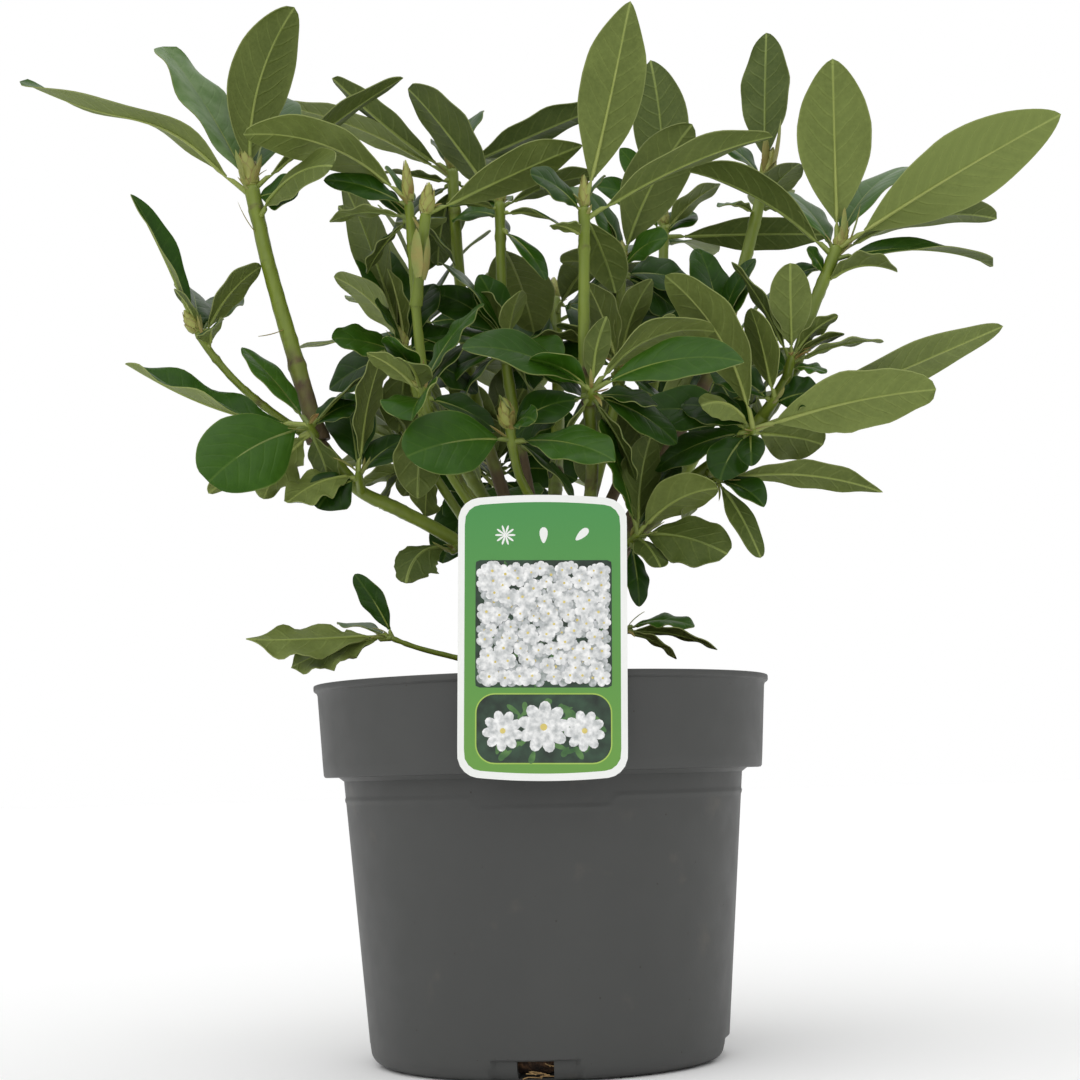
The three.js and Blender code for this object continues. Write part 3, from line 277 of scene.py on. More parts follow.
# Leaves inside the crown that only the finished plant has, in the same terms as the part's own. They stay
# within their mass's reach, and any that would run through a limb is left out.
EXTRA_LEAVES = {
    "middle_node_leaves": [
        (-13, 2, 38, 22, -50, 0.06, 3), (-42, 24, 34, 24, -50, 0.1, 2), (-26, 10, -26, 24, -30, 0.08, 6),
        (18, 8, -35, 25, 20, 0.06, 7), (-44, 20, -16, 26, -50, 0.08, 7), (40, 20, -20, 26, 50, 0.08, 8),
    ],
    "right_centre_leaves": [
        (40, 18, -2, 26, 60, 0.08, 8), (34, 16, -22, 28, 65, 0.08, 8), (-6, 22, -40, 26, 0, 0.06, 9),
        (-30, 20, -14, 24, -40, 0.08, 7),
    ],
    "centre_leaves": [(16, 30, -34, 24, 0, 0.06, 4)],
    "right_centre_node_leaves": [
        (-47, 16, 5, 27, -60, 0.1, 4), (30, 14, -24, 26, 35, 0.08, 6), (-26, 14, -24, 25, -30, 0.08, 7),
        (18, 38, -52, 30, 0, 0.06, 8), (-18, 30, -54, 30, -10, 0.06, 9), (44, 24, 4, 26, 60, 0.1, 5),
    ],
    "centre_node_leaves": [
        (-22, 8, -40, 28, -15, 0.06, 6), (22, 10, -42, 28, 15, 0.06, 7), (-40, 14, -20, 26, -50, 0.08, 5),
        (42, 8, -24, 26, 50, 0.08, 6),
    ],
    "front_leaves": [(32, 12, 17, 22, 55, 0.1, 4), (30, 14, -28, 26, 35, 0.08, 7)],
    "front_left_leaves": [
        (26, 16, -38, 26, 20, 0.06, 8), (-6, 20, -44, 26, 0, 0.06, 9), (34, 18, -14, 24, 50, 0.08, 7),
    ],
    "low_centre_leaves": [(8, -6, 50, 28, -10, 0.06, 2), (24, 8, 40, 26, 20, 0.06, 5)],
    "right_front_leaves": [
        (-48, 14, -16, 24, -50, 0.08, 5), (-34, 12, 16, 24, -50, 0.1, 3), (-16, -8, -24, 22, -60, 0.08, 8),
        (-56, 20, 14, 28, -60, 0.1, 4),
    ],
    "right_under_leaves": [(-16, 14, -26, 20, -20, 0.06, 7)],
    "right_middle_leaves": [(-30, 14, 22, 24, -40, 0.08, 5), (22, -10, 4, 20, 65, 0.08, 6)],
    "right_side_leaves": [(-20, 14, -20, 20, -30, 0.08, 6)],
    "right_top_leaves": [(-28, 10, -10, 20, -40, 0.1, 12)],
    "back_right_node_leaves": [
        (-40, 10, -22, 27, -50, 0.08, 5), (22, 12, -40, 26, 20, 0.06, 7), (-48, 12, 14, 28, -60, 0.08, 4),
        (38, 12, -16, 24, 50, 0.08, 6),
    ],
    "left_fork_leaves": [(8, 14, -28, 20, 10, 0.06, 6), (22, 10, 14, 18, 40, 0.08, 5)],
    "left_side_leaves": [
        (-10, 30, 48, 26, -10, 0.06, 3), (24, 10, 20, 22, 40, 0.08, 4), (-20, -10, -16, 24, -65, 0.1, 6),
    ],
    "left_low_leaves": [
        (-16, -14, 26, 22, -30, 0.08, 3), (26, -8, 10, 24, 50, 0.08, 4), (-22, 12, -26, 22, -20, 0.08, 7),
    ],
    "left_inner_leaves": [
        (18, 14, -30, 24, 20, 0.08, 6), (26, 12, 10, 25, 50, 0.08, 4), (-6, 16, -36, 24, 0, 0.06, 7),
        (-26, 14, -22, 24, -40, 0.08, 6), (36, 18, -18, 26, 55, 0.08, 5), (14, 20, 40, 24, 10, 0.06, 3),
        (-42, 18, -14, 28, -65, 0.08, 5),
    ],
    "left_centre_leaves": [
        (-42, -8, 13, 17, -60, 0.08, 4), (22, 18, -22, 24, 30, 0.08, 8), (-24, 18, -24, 24, -30, 0.08, 9),
    ],
    "left_top_leaves": [(23, -6, -1, 24, 60, 0.1, 8)],
    "rear_left_leaves": [
        (-10, 10, -44, 26, 0, 0.06, 8), (30, 8, -28, 26, 30, 0.08, 7), (-34, 10, -24, 24, -40, 0.08, 9),
    ],
    "back_low_leaves": [
        (46, -24, 26, 29, 60, 0.08, 4), (18, -34, 42, 29, 0, 0.05, 3), (-38, -28, 30, 29, -60, 0.08, 4),
        (46, -32, -8, 28, 60, 0.1, 7), (-10, -40, 30, 28, 0, 0.06, 5), (-44, -30, -4, 28, -60, 0.08, 8),
        (30, -30, -34, 28, 30, 0.08, 9), (-24, -34, -34, 28, -30, 0.08, 9), (60, -20, 10, 30, 60, 0.08, 5),
        (-30, -50, -54, 32, -20, 0.06, 8), (44, -44, -50, 32, 20, 0.06, 8),
    ],
    "back_leaves": [
        (37, -24, -30, 30, 45, 0.08, 5), (-38, -24, -30, 30, -45, 0.08, 5), (20, -20, -62, 32, 10, 0.06, 8),
        (-22, -22, -60, 32, -10, 0.06, 8),
    ],
    "back_left_leaves": [
        (24, -26, -40, 28, 10, 0.06, 6), (-38, -20, -34, 28, -35, 0.08, 5), (44, -24, -8, 28, 55, 0.08, 4),
        (-6, -24, -56, 30, 0, 0.06, 8),
    ],
    "back_right_side_leaves": [
        (-46, -22, -14, 29, -45, 0.08, 5), (-38, -26, 22, 29, -50, 0.08, 4),
        (-14, -30, -40, 28, 0, 0.06, 7), (-52, -16, -36, 30, -40, 0.08, 8), (14, -24, -44, 28, 15, 0.06, 8),
    ],
}

# How some leaves differ from the usual look. Tone is how light the upper face, the underside and the stalk
# are, set to each leaf's colour as it looks: partly its own green, partly painted shade on the darkest, which
# lie in shadow inside the crown, and painted sheen on the palest, which catch the sky. Over shows a leaf's
# other side, slim scales its width, and turn and nudge change its roll and tip.
LOOKS = {
    "left_top_leaves": {
        0: dict(tip=0.5, fold=0.1, twist=-0.3, wave=1.2, waves=1.2, phase=0.2, tone=(0.5, 0.55, 0.6)),
        # Painted sheen: this leaf's top is lifted to a pale grey green, as where it catches the sky.
        1: dict(tip=0.3, slim=1.22, fold=0.2, wave=2.0, waves=2.4, twist=-0.2, tone=(1.3, 0.6, 0.5)),
        2: dict(rise=0.012, sway=4.5, tip=0.4, twist=0.8, slim=1.15, fold=0.25, wave=2.4, waves=1.6,
                phase=0.3, tone=(0.7, 0.7, 0.7)),
        3: dict(over=True, tip=0.55, fold=0.2, twist=0.2, tone=(0.4, 0.42, 0.5)),
        4: dict(tone=(0.5, 0.45, 0.5), fold=0.25),
        5: dict(slim=1.25, nudge=(5, 0, -2), tone=(0.5, 0.5, 0.5)),
    },
    "left_outer_leaves": {
        0: dict(fold=0.75, turn=-48, slim=0.6, twist=0.6, tip=0.75, tone=(0.4, 0.6, 0.5)),
        1: dict(tip=0.6, tone=(0.4, 0.5, 0.5), slim=0.9),
    },
    "left_fork_leaves": {
        0: dict(rise=-0.035, turn=-32, slim=0.85, wave=2.4, waves=2.2, fold=0.65, tip=0.7,
                tone=(0.6, 0.9, 0.7)),
        1: dict(nudge=(4, 0, -3), slim=1.12, tip=0.42, fold=0.05, wave=1.0, waves=1.1,
                tone=(0.75, 0.6, 0.1)),
        2: dict(wave=3.0, waves=2.6, ragged=0.2, tone=(0.6, 1.0, 0.8)),
        6: dict(wave=2.4, waves=2.6, ragged=0.2, tone=(0.6, 0.95, 0.8)),
    },
    "left_side_leaves": {
        0: dict(tone=(0.5, 0.5, 0.6)), 1: dict(wave=2.2, waves=2.8, tone=(0.55, 0.8, 0.6), over=True),
    },
    "left_inner_leaves": {2: dict(slim=0.8, tone=(0.4, 0.3, 0.4))},
    "left_low_leaves": {
        0: dict(wave=2.4, tone=(0.5, 0.7, 0.6)), 4: dict(ragged=0.25, wave=2.0, tone=(0.5, 0.75, 0.6)),
    },
    "low_left_leaves": {
        0: dict(over=True, tip=1.15, ragged=0.32, wave=2.4, waves=2.6, tone=(0.5, 0.72, 0.5)),
        1: dict(over=True, tip=0.9, ragged=0.5, wave=2.6, waves=3.2, slim=1.2, tone=(0.5, 0.75, 0.5)),
        2: dict(nudge=(-4, 0, 2), slim=0.72, over=True, tip=0.55, tone=(0.25, 0.2, 0.5)),
    },
    "under_left_leaves": {
        0: dict(nudge=(6, 0, 2), over=True, ragged=0.3, tip=0.5, fold=0.4, tone=(0.1, 0.02, 0.2)),
    },
    "bud_shoot": {0: dict(slim=0.82, tip=0.85, fold=0.22, twist=0.3, tone=(0.5, 0.5, 0.5))},
    "rear_left_leaves": {
        0: dict(slim=0.7, nudge=(-5, 0, 0), fold=0.45, tip=0.45, tone=(0.3, 0.2, 0.5)),
        2: dict(fold=0.4, tone=(0.3, 0.1, 0.4)),
    },
    "middle_leaves": {
        2: dict(slim=0.5), 0: dict(slim=1.2, nudge=(-4, 0, 0), fold=0.25, tip=0.42, tone=(0.3, 0.15, 0.5)),
    },
    "centre_leaves": {
        0: dict(tip=0.78, wave=0.8, waves=2.6, tone=(0.5, 0.66, 0.8)),
        1: dict(fold=0.4, tone=(0.6, 0.45, 0.5)), 2: dict(tone=(0.15, 0.3, 0.4)),
    },
    "centre_node_leaves": {
        0: dict(tip=0.8, fold=0.14, tone=(0.62, 0.6, 0.3)), 1: dict(tip=0.8, tone=(0.35, 0.5, 0.3)),
        2: dict(over=True, tone=(0.6, 0.75, 0.6)), 4: dict(slim=0.75, tone=(0.3, 0.3, 0.4)),
        5: dict(tone=(0.2, 0.3, 0.3)),
    },
    "right_centre_leaves": {0: dict(tip=0.6, tone=(0.4, 0.42, 0.5))},
    "rear_right_leaves": {0: dict(tone=(0.3, 0.12, 0.4)), 3: dict(slim=0.75, tone=(0.3, 0.15, 0.4))},
    "back_right_leaves": {
        0: dict(slim=1.08, nudge=(3, 0, 0), tip=0.62, tone=(0.3, 0.08, 0.3)), 1: dict(tone=(0.4, 0.3, 0.5)),
    },
    "right_top_leaves": {
        0: dict(tip=0.68, wave=0.4, fold=0.1, tone=(0.5, 0.78, 0.8)),
        # Painted sheen: this underside is lightened to its palest green.
        1: dict(tip=0.72, wave=0.6, fold=0.08, tone=(0.5, 1.1, 0.9)),
        2: dict(slim=1.2, tone=(0.3, 0.25, 0.4), fold=0.3),
        3: dict(slim=1.15, tip=0.2, twist=0.9, droop=0.2, wave=0.3, fold=0.25, tone=(0.1, 0.2, 0.3)),
        4: dict(nudge=(0, 0, -7), fold=0.5, tone=(0.4, 0.5, 0.5)), 7: dict(fold=0.5, tone=(0.25, 0.3, 0.4)),
    },
    "right_side_leaves": {
        0: dict(tip=0.5, tone=(0.5, 0.62, 0.6)), 1: dict(tone=(0.2, 0.15, 0.4)),
        2: dict(tone=(0.4, 0.4, 0.4)), 3: dict(tone=(0.3, 0.4, 0.4)),
    },
    "right_middle_leaves": {0: dict(tip=0.5, tone=(0.5, 0.66, 0.6))},
    "right_front_leaves": {
        0: dict(tip=0.42, ragged=0.1, notch=0.6, wave=0.9, tone=(0.5, 0.92, 0.8)),
        1: dict(tone=(0.5, 0.55, 0.5)),
        2: dict(rise=-0.035, nudge=(0, 0, 8), tip=0.62, tone=(0.5, 0.7, 0.7)),
        3: dict(tip=0.6, tone=(0.5, 0.7, 0.8)),
        4: dict(over=True, fold=0.7, slim=0.7, tone=(0.5, 0.95, 0.8)),
        5: dict(slim=0.55, tone=(0.05, 0.1, 0.3)),
    },
    "right_under_leaves": {
        0: dict(rise=-0.03, slim=0.72, tip=0.95, wave=0.8, tone=(0.4, 0.5, 0.6)),
        1: dict(over=True, slim=0.85, tip=0.45, tone=(0.1, 0.05, 0.3)),
        2: dict(fold=0.5, tone=(0.15, 0.1, 0.3)),
    },
    "low_centre_leaves": {
        0: dict(tip=0.55, fold=0.25, tone=(0.5, 0.8, 0.6)),
        1: dict(over=True, tip=0.38, wave=1.4, tone=(0.3, 0.12, 0.2)),
        2: dict(over=True, tip=0.4, tone=(0.1, 0.0, 0.1)), 3: dict(tone=(0.05, 0.1, 0.2)),
    },
    "front_leaves": {
        0: dict(slim=1.05, tip=0.42, fold=0.08, wave=0.8, tone=(0.6, 0.5, 0.15)),
        1: dict(tip=0.9, tone=(0.6, 0.5, 0.3)),
    },
    "front_left_leaves": {3: dict(fold=0.6, tone=(0.5, 0.9, 0.6)), 0: dict(over=True, tone=(0.5, 0.6, 0.5))},
}

# Bracts that stand out: each one's foot, heading, length and width.
NAMED_BRACTS = [
    ((135, 58, 466), (0.4, -0.12, 1), 31, 9), ((131, 57, 468), (0.15, -0.3, 1), 20, 5),
    ((164, -22, 407), (0.55, -0.1, 1), 19, 5), ((160, -24, 408), (0.2, -0.3, 1), 15, 4),
    ((-55, -57, 385), (-0.12, -0.2, 1), 24, 7), ((-52, -55, 384), (0.3, -0.15, 1), 22, 6.5),
    ((-55, -52, 386), (-0.3, 0.1, 1), 20, 6), ((-139, -25, 418), (-0.75, -0.2, 0.9), 18, 1.3),
    ((-125, -31, 366), (-0.9, -0.3, -0.5), 13, 1.2), ((-139, -25, 446), (0.5, -0.5, 1), 13, 3),
    ((-145, -24, 447), (-0.4, -0.6, 1), 15, 3.2),
]

PIECES = {
    "leaves_left": (
        "left_top_leaves", "left_outer_leaves", "left_fork_leaves", "left_side_leaves", "left_low_leaves",
        "left_inner_leaves", "low_left_leaves", "under_left_leaves",
    ),
    "leaves_middle": (
        "left_centre_leaves", "bud_shoot", "rear_left_leaves", "middle_leaves", "middle_node_leaves",
        "centre_leaves", "centre_node_leaves", "right_centre_leaves", "right_centre_node_leaves",
        "low_centre_leaves", "front_leaves", "front_left_leaves",
    ),
    "leaves_right": (
        "rear_right_leaves", "back_right_leaves", "back_right_node_leaves", "right_top_leaves",
        "right_side_leaves", "right_middle_leaves", "right_front_leaves", "right_under_leaves",
        "low_right_leaves",
    ),
    "leaves_back": ("back_left_leaves", "back_leaves", "back_low_leaves", "back_right_side_leaves"),
}


def mix(a, b, share):
    return a + (b - a) * share


def clamp(value, low=0.0, high=1.0):
    return max(low, min(high, value))


def smooth(low, high, value):
    share = clamp((value - low) / (high - low))
    return share * share * (3 - 2 * share)


def polar(radius, turn, height=0.0):
    return Vector((radius * math.cos(turn), radius * math.sin(turn), height))


def round_about(centre, side, up, turn, reach):
    """A point at this reach from a centre, turned from one direction towards the other."""
    return centre + side * (math.cos(turn) * reach) + up * (math.sin(turn) * reach)


def across_of(heading):
    """Two directions that are square to a heading and to each other."""
    side = (ACROSS - heading * ACROSS.dot(heading)).normalized()
    return side, heading.cross(side)


class Chance:
    """The part's own seeded numbers, so that the same seed places the same leaves here."""

    WORD = 0xFFFFFFFF

    def __init__(self, seed):
        self.state = seed & self.WORD

    def __call__(self):
        self.state = (self.state + 0x6D2B79F5) & self.WORD
        t = ((self.state ^ (self.state >> 15)) * (self.state | 1)) & self.WORD
        t = ((t + (((t ^ (t >> 7)) * (t | 61)) & self.WORD)) & self.WORD) ^ t
        return ((t ^ (t >> 14)) & self.WORD) / 4294967296

    def about(self, spread):
        return spread * (self() - 0.5)


class Line:
    """A smooth line through points, read by the share of its length."""

    DIVISIONS = 200

    def __init__(self, points):
        self.points = [Vector(p) for p in points]
        places = [self.at_knot(i / self.DIVISIONS) for i in range(self.DIVISIONS + 1)]
        self.lengths = [0.0]
        for before, after in zip(places, places[1:]):
            self.lengths.append(self.lengths[-1] + (after - before).length)
        self.length = self.lengths[-1]

    def at_knot(self, t):
        last = len(self.points) - 1
        place = last * t
        i = min(int(place), last - 1)
        weight = place - i
        one, two = self.points[i], self.points[i + 1]
        zero = self.points[i - 1] if i > 0 else one * 2 - two
        three = self.points[i + 2] if i + 2 <= last else two * 2 - one
        d1 = math.sqrt((two - one).length) or 1.0
        d0 = math.sqrt((one - zero).length)
        d2 = math.sqrt((three - two).length)
        d0 = d0 if d0 > 1e-4 else d1
        d2 = d2 if d2 > 1e-4 else d1
        t1 = ((one - zero) / d0 - (two - zero) / (d0 + d1) + (two - one) / d1) * d1
        t2 = ((two - one) / d1 - (three - one) / (d1 + d2) + (three - two) / d2) * d1
        c2 = (two - one) * 3 - t1 * 2 - t2
        c3 = (one - two) * 2 + t1 + t2
        return one + t1 * weight + c2 * weight**2 + c3 * weight**3

    def knot(self, share):
        target = clamp(share) * self.length
        low, high = 0, self.DIVISIONS
        while high - low > 1:
            middle = (low + high) // 2
            if self.lengths[middle] <= target:
                low = middle
            else:
                high = middle
        step = self.lengths[high] - self.lengths[low]
        return (low + (target - self.lengths[low]) / step) / self.DIVISIONS

    def at(self, share):
        return self.at_knot(self.knot(share))

    def heading(self, share):
        t = self.knot(share)
        nudge = 1e-3
        return (self.at_knot(min(1, t + nudge)) - self.at_knot(max(0, t - nudge))).normalized()


def linear(colour):
    """An sRGB colour, a hex code or one of the colour settings, as Blender's linear one."""
    if isinstance(colour, str):
        parts = [int(colour[i:i + 2], 16) / 255 for i in (1, 3, 5)]
    else:
        parts = [round(clamp(part) * 255) / 255 for part in colour]
    return tuple(p / 12.92 if p <= 0.04045 else ((p + 0.055) / 1.055) ** 2.4 for p in parts) + (1.0,)


# --- meshes -----------------------------------------------------------------------------------------------


def woven(bm, across, along, place):
    """A sheet of across by along faces whose points lie where place(across share, along share) says."""
    made = bmesh.ops.create_grid(bm, x_segments=across, y_segments=along, size=1.0)
    verts = {}
    for vert in made["verts"]:
        i = round((vert.co.x + 1) / 2 * across)
        j = round((vert.co.y + 1) / 2 * along)
        verts[i, j] = vert
    for (i, j), vert in verts.items():
        vert.co = place(i / across, j / along, vert)
    faces = {face for vert in made["verts"] for face in vert.link_faces}
    return verts, faces


def poured(bm, part):
    """Adds a small bmesh to the piece's own, which keeps the operators quick. Both have the same layers."""
    mesh = bpy.data.meshes.new("poured")
    part.to_mesh(mesh)
    part.free()
    bm.from_mesh(mesh)
    bpy.data.meshes.remove(mesh)


def layered(*names):
    """A new bmesh with vector layers on its points."""
    bm = bmesh.new()
    for name in names:
        bm.verts.layers.float_vector.new(name)
    return bm


def coloured(faces, material):
    """Smooths faces and gives them the piece's material of this number."""
    for face in faces:
        face.smooth = True
        face.material_index = material


def tube(bm, rings, sides, material=0):
    """A closed tube through rings: each has a centre, two directions across, and a radius for each side."""
    last = len(rings) - 1

    def place(around, along, vert):
        centre, side, up, radius = rings[round(along * last)]
        turn = math.tau * around
        reach = radius(turn) if callable(radius) else radius
        return round_about(centre, side, up, turn, reach) * MM

    verts, faces = woven(bm, sides, last, place)
    seam = [verts[i, j] for i in (0, sides) for j in range(last + 1)]
    bmesh.ops.remove_doubles(bm, verts=seam, dist=1e-7)
    ends = [edge for edge in {e for f in faces if f.is_valid for e in f.edges} if edge.is_boundary]
    caps = bmesh.ops.holes_fill(bm, edges=ends, sides=0)["faces"]
    coloured([face for face in faces if face.is_valid] + caps, material)
    return {place: vert for place, vert in verts.items() if vert.is_valid}


def placed(name, data):
    """A new object in the scene."""
    made = bpy.data.objects.new(name, data)
    bpy.context.scene.collection.objects.link(made)
    return made


def finish_piece(name, bm, materials, nodes=(), sharp=50):
    """Turns a bmesh into a piece of the part, riding on its one body."""
    bmesh.ops.dissolve_degenerate(bm, dist=1e-7, edges=bm.edges[:])
    for edge in bm.edges:
        if len(edge.link_faces) == 2 and edge.calc_face_angle(0) > math.radians(sharp):
            edge.smooth = False
    mesh = bpy.data.meshes.new(name)
    bm.to_mesh(mesh)
    bm.free()
    for material in materials:
        mesh.materials.append(material)
    piece = placed(name, mesh)
    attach(piece, "root")
    if nodes:
        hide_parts(*nodes)


# --- the plant's limbs ------------------------------------------------------------------------------------

# Millimetres between a stem's rings and between its leaf scars, and the numbers of points and of rings.
STEM_STEP = 1.8
SCAR_STEP = 9
STEM_SIDES = 14
TRUNK_SIDES = 48
TRUNK_RINGS = 46
# Where each kind of thing starts its seeded numbers.
SEEDS = dict(limb=31, shoot=71, bud=500, bract=700, whorl=900, crumb=4711, label=77)


def limb_lines():
    """Each limb's line, the share of it where its foliage takes over, and its line's radii."""
    carriers = {mass["limb"] for mass in MASSES.values() if "limb" in mass}
    found = {}
    for name, limb in LIMBS.items():
        line = Line(limb["path"])
        stub = STUB["whorl"] if limb.get("whorl", True) else STUB["twig"]
        end = 1 - stub / line.length if name in carriers else 1
        found[name] = (line, end, limb["thick"])
    return found


def mass_line(mass, lines):
    """The short stem that a mass of foliage grows on."""
    if "limb" in mass:
        line, end, _ = lines[mass["limb"]]
        steps = 12
        first = end + GAP / line.length
        points = [line.at(mix(first, 1, i / steps)) for i in range(steps + 1)]
        return Line(points)
    line = lines[mass["on"]][0]
    foot = line.at(mass["at"])
    tip = foot + Vector(mass["out"])
    return Line([foot, foot.lerp(tip, 0.5), tip])


def shoot(bm, line, thick, wood, seed, rings=(), base=0.0, crown=0.0):
    """A stem: swollen where it leaves its parent and at the rings of bud scars, knobbly with leaf scars."""
    part = bmesh.new()
    age = part.verts.layers.float.new("age")
    random = Chance(seed)
    steps = max(6, round(line.length / STEM_STEP))
    count = round(line.length / SCAR_STEP)
    scars = [(random(), math.tau * random(), 0.5 + 0.5 * random()) for _ in range(count)]
    ring_list = []
    marks = []
    for i in range(steps + 1):
        share = i / steps
        along = share * line.length
        heading = line.heading(share)
        side, up = across_of(heading)
        radius = mix(*thick, share)
        radius *= 1 + base * math.exp(-along / 7)
        swell = 0.0
        browned = 0.0
        for ring, brown in rings:
            apart = along - ring * line.length
            swell = max(swell, math.exp(-(apart / 4.0) ** 2))
            browned = max(browned, brown * math.exp(-(apart / (2.0 + 3.5 * brown)) ** 2))
            radius += 0.25 * math.exp(-(apart / 3.2) ** 2) * math.cos(apart * 2.6)
        radius *= 1 + 0.13 * swell + crown * math.exp(-(line.length - along) / 7)
        radius *= math.sqrt(max(0.05, 1 - max(0, along - line.length + 4) ** 2 / 17))
        centre = line.at(share)

        def bumpy(turn, radius=radius, along=along, share=share, centre=centre):
            lift = 0.05 * noise.noise(centre * 0.16 + polar(1, turn) * 1.3)
            for at, facing, size in scars:
                apart = along - at * line.length
                if abs(apart) < 5:
                    around = math.remainder(turn - facing, math.tau) * radius
                    lift += 0.16 * size * math.exp(-(apart / 1.5) ** 2 - (around / 2.4) ** 2)
            return radius * (1 + lift)

        ring_list.append((centre, side, up, bumpy))
        old = smooth(wood + 0.12, wood - 0.16, share + 0.1 * noise.noise(centre * 0.05)) if wood else 0.0
        # Painted shade: each old limb is darkened towards brown over its lower part, where the crown's base
        # lies in shadow.
        painted_base_shade = 0.7 * smooth(0.6, 0.1, share) if wood else 0.0
        marks.append(clamp(max(old, browned, painted_base_shade)))
    made = tube(part, ring_list, STEM_SIDES)
    for (_, at), vert in made.items():
        spot = 0.0
        for scar_at, facing, size in scars:
            if abs(at / steps - scar_at) * line.length < 1.6:
                spot = max(spot, 0.35 * size * noise.noise(vert.co * 900) + 0.12)
        vert[age] = clamp(marks[at] + spot)
    poured(bm, part)


# Rings of bud scars: the share of the limb's length, and how brown the ring is.
RINGS = {
    "left_bough": ((0.62, 0.4), (0.97, 0.8)), "left_top_bough": ((0.03, 0.8), (0.28, 0.5), (0.9, 0.3)),
    "left_outer_bough": ((0.03, 0.8), (0.45, 0.5), (0.8, 0.3)),
    "right_bough": ((0.28, 0.5), (0.53, 0.5), (0.72, 0.4), (0.9, 0.3)),
    "centre_bough": ((0.53, 0.7), (0.6, 0.7), (0.9, 0.25)), "bud_shoot": ((0.4, 0.3),),
    "left_centre_bough": ((0.5, 0.4), (0.76, 0.3), (0.9, 0.25)),
    "back_right_bough": ((0.35, 0.5), (0.62, 0.5), (0.9, 0.3)),
}
USUAL_RINGS = ((0.45, 0.45), (0.9, 0.3))
# The share of its solid's thickness that a limb shows.
SLIM = {
    "left_bough": 0.72, "left_outer_bough": 0.75, "right_bough": 0.78, "centre_bough": 0.78,
    "left_centre_bough": 0.68, "rear_left_stem": 0.9, "back_right_bough": 0.82, "middle_stem": 0.88,
    "right_centre_stem": 0.82, "rear_right_stem": 0.85, "front_stem": 0.75, "front_left_stem": 0.75,
    "left_inner_stem": 0.75, "left_top_bough": 0.93,
}


def build_boughs():
    """The limbs, and the short stems that masses of leaves grow on."""
    lines = limb_lines()
    bm = bmesh.new()
    bm.verts.layers.float.new("age")
    for number, (name, limb) in enumerate(LIMBS.items()):
        line, _, thick = lines[name]
        thick = [radius * SLIM.get(name, 1) for radius in thick]
        crown = 0.3 if limb.get("whorl", True) else 0.0
        seed = SEEDS["limb"] + number
        shoot(bm, line, thick, limb["wood"], seed, RINGS.get(name, USUAL_RINGS), 0.3, crown)
    for number, (name, mass) in enumerate(MASSES.items()):
        if "on" in mass:
            seed = SEEDS["shoot"] + number
            shoot(bm, mass_line(mass, lines), mass["thick"], 0, seed, RINGS.get(name, ()), 0.35, 0.2)
    finish_piece("boughs", bm, [green_bark()], LIMBS)


def build_trunk():
    """The short trunk: flaking bark, flared at its foot."""
    bm = bmesh.new()
    foot = MIX["crown"] + GAP
    rings = []
    for i in range(TRUNK_RINGS + 1):
        share = i / TRUNK_RINGS
        up = share * (TRUNK["top"] - foot)
        flare = TRUNK["flare"] * max(0, 1 - up / TRUNK["flare_height"]) ** 2
        x, y = (mix(TRUNK["foot"][k], TRUNK["head"][k], share) for k in (0, 1))
        radius = mix(TRUNK["foot_radius"], TRUNK["top_radius"], share) + flare
        radius *= math.sqrt(max(0.02, 1 - max(0, share - 0.93) ** 2 / 0.0055))
        centre = Vector((x, y, foot + up))

        def flaky(turn, radius=radius, up=up):
            around = Vector((math.cos(turn) * 2.2, math.sin(turn) * 2.2, up * 0.05))
            ridge = noise.noise(around * 1.6)
            flake = noise.noise(Vector((around.x * 2.4, around.y * 2.4, up * 0.16)))
            return radius * (0.965 + 0.05 * ridge + 0.035 * max(0, flake))

        rings.append((centre, Vector((1, 0, 0)), Vector((0, 1, 0)), flaky))
    tube(bm, rings, TRUNK_SIDES)
    finish_piece("trunk_bark", bm, [flaking_bark()], ("trunk",))


# --- leaves -----------------------------------------------------------------------------------------------

COLUMNS = (-1, -0.95, -0.74, -0.46, -0.2, -0.07, 0, 0.07, 0.2, 0.46, 0.74, 0.95, 1)
ROWS = 26
BLADE_THICK = 0.5


def blade_width(share, tip):
    """A blade's width as a share of its widest. A smaller tip number makes a blunter leaf."""
    return math.sin(math.pi * share**1.12) ** mix(0.78, tip, share) if 0 < share < 1 else 0.0


def leaf_frame(foot, leaf):
    """Where a leaf's rib runs, and the directions across it and up from its face."""
    reach = Vector(leaf["reach"])
    length = reach.length
    forward = reach / length
    flat = math.hypot(forward.x, forward.y)
    rising = Vector((-forward.z * forward.x / flat, -forward.z * forward.y / flat, flat))
    side = forward.cross(rising)
    roll = math.radians(leaf["roll"])
    upper = rising * math.cos(roll) + side * math.sin(roll)

    def place(share):
        hump = 4 * share * (1 - share) * length
        return foot + reach * share + rising * (hump * leaf["arch"]) + side * (hump * leaf["bow"])

    return place, upper, length


def leaf_rows(foot, leaf, look):
    """For each row of the blade: its centre, its directions across and up, its half width and its place."""
    place, upper, length = leaf_frame(foot, leaf)
    rows = []
    for j in range(ROWS + 1):
        t = j / ROWS
        blade = mix(t, 0.5 - 0.5 * math.cos(math.pi * t), 0.55)
        share = mix(PETIOLE, 1, blade)
        ahead = (place(min(1, share + 0.01)) - place(max(0, share - 0.01))).normalized()
        up = (upper - ahead * upper.dot(ahead)).normalized()
        cross = ahead.cross(up)
        twist = look["twist"] * (blade - 0.4)
        turned = cross * math.cos(twist) + up * math.sin(twist)
        up = up * math.cos(twist) - cross * math.sin(twist)
        half = leaf["width"] * look["slim"] / 2 * blade_width(blade, look["tip"])
        half = max(half, 0.9 * (1 - blade) ** 0.3 if blade < 1 else 0)
        dip = -look["droop"] * length * max(0, blade - 0.72) ** 2
        sway = Vector((0, 0, look["sway"] * math.sin(math.tau * blade)))
        rows.append((place(share) + up * dip + sway, turned, up, half, blade, share * length))
    return rows


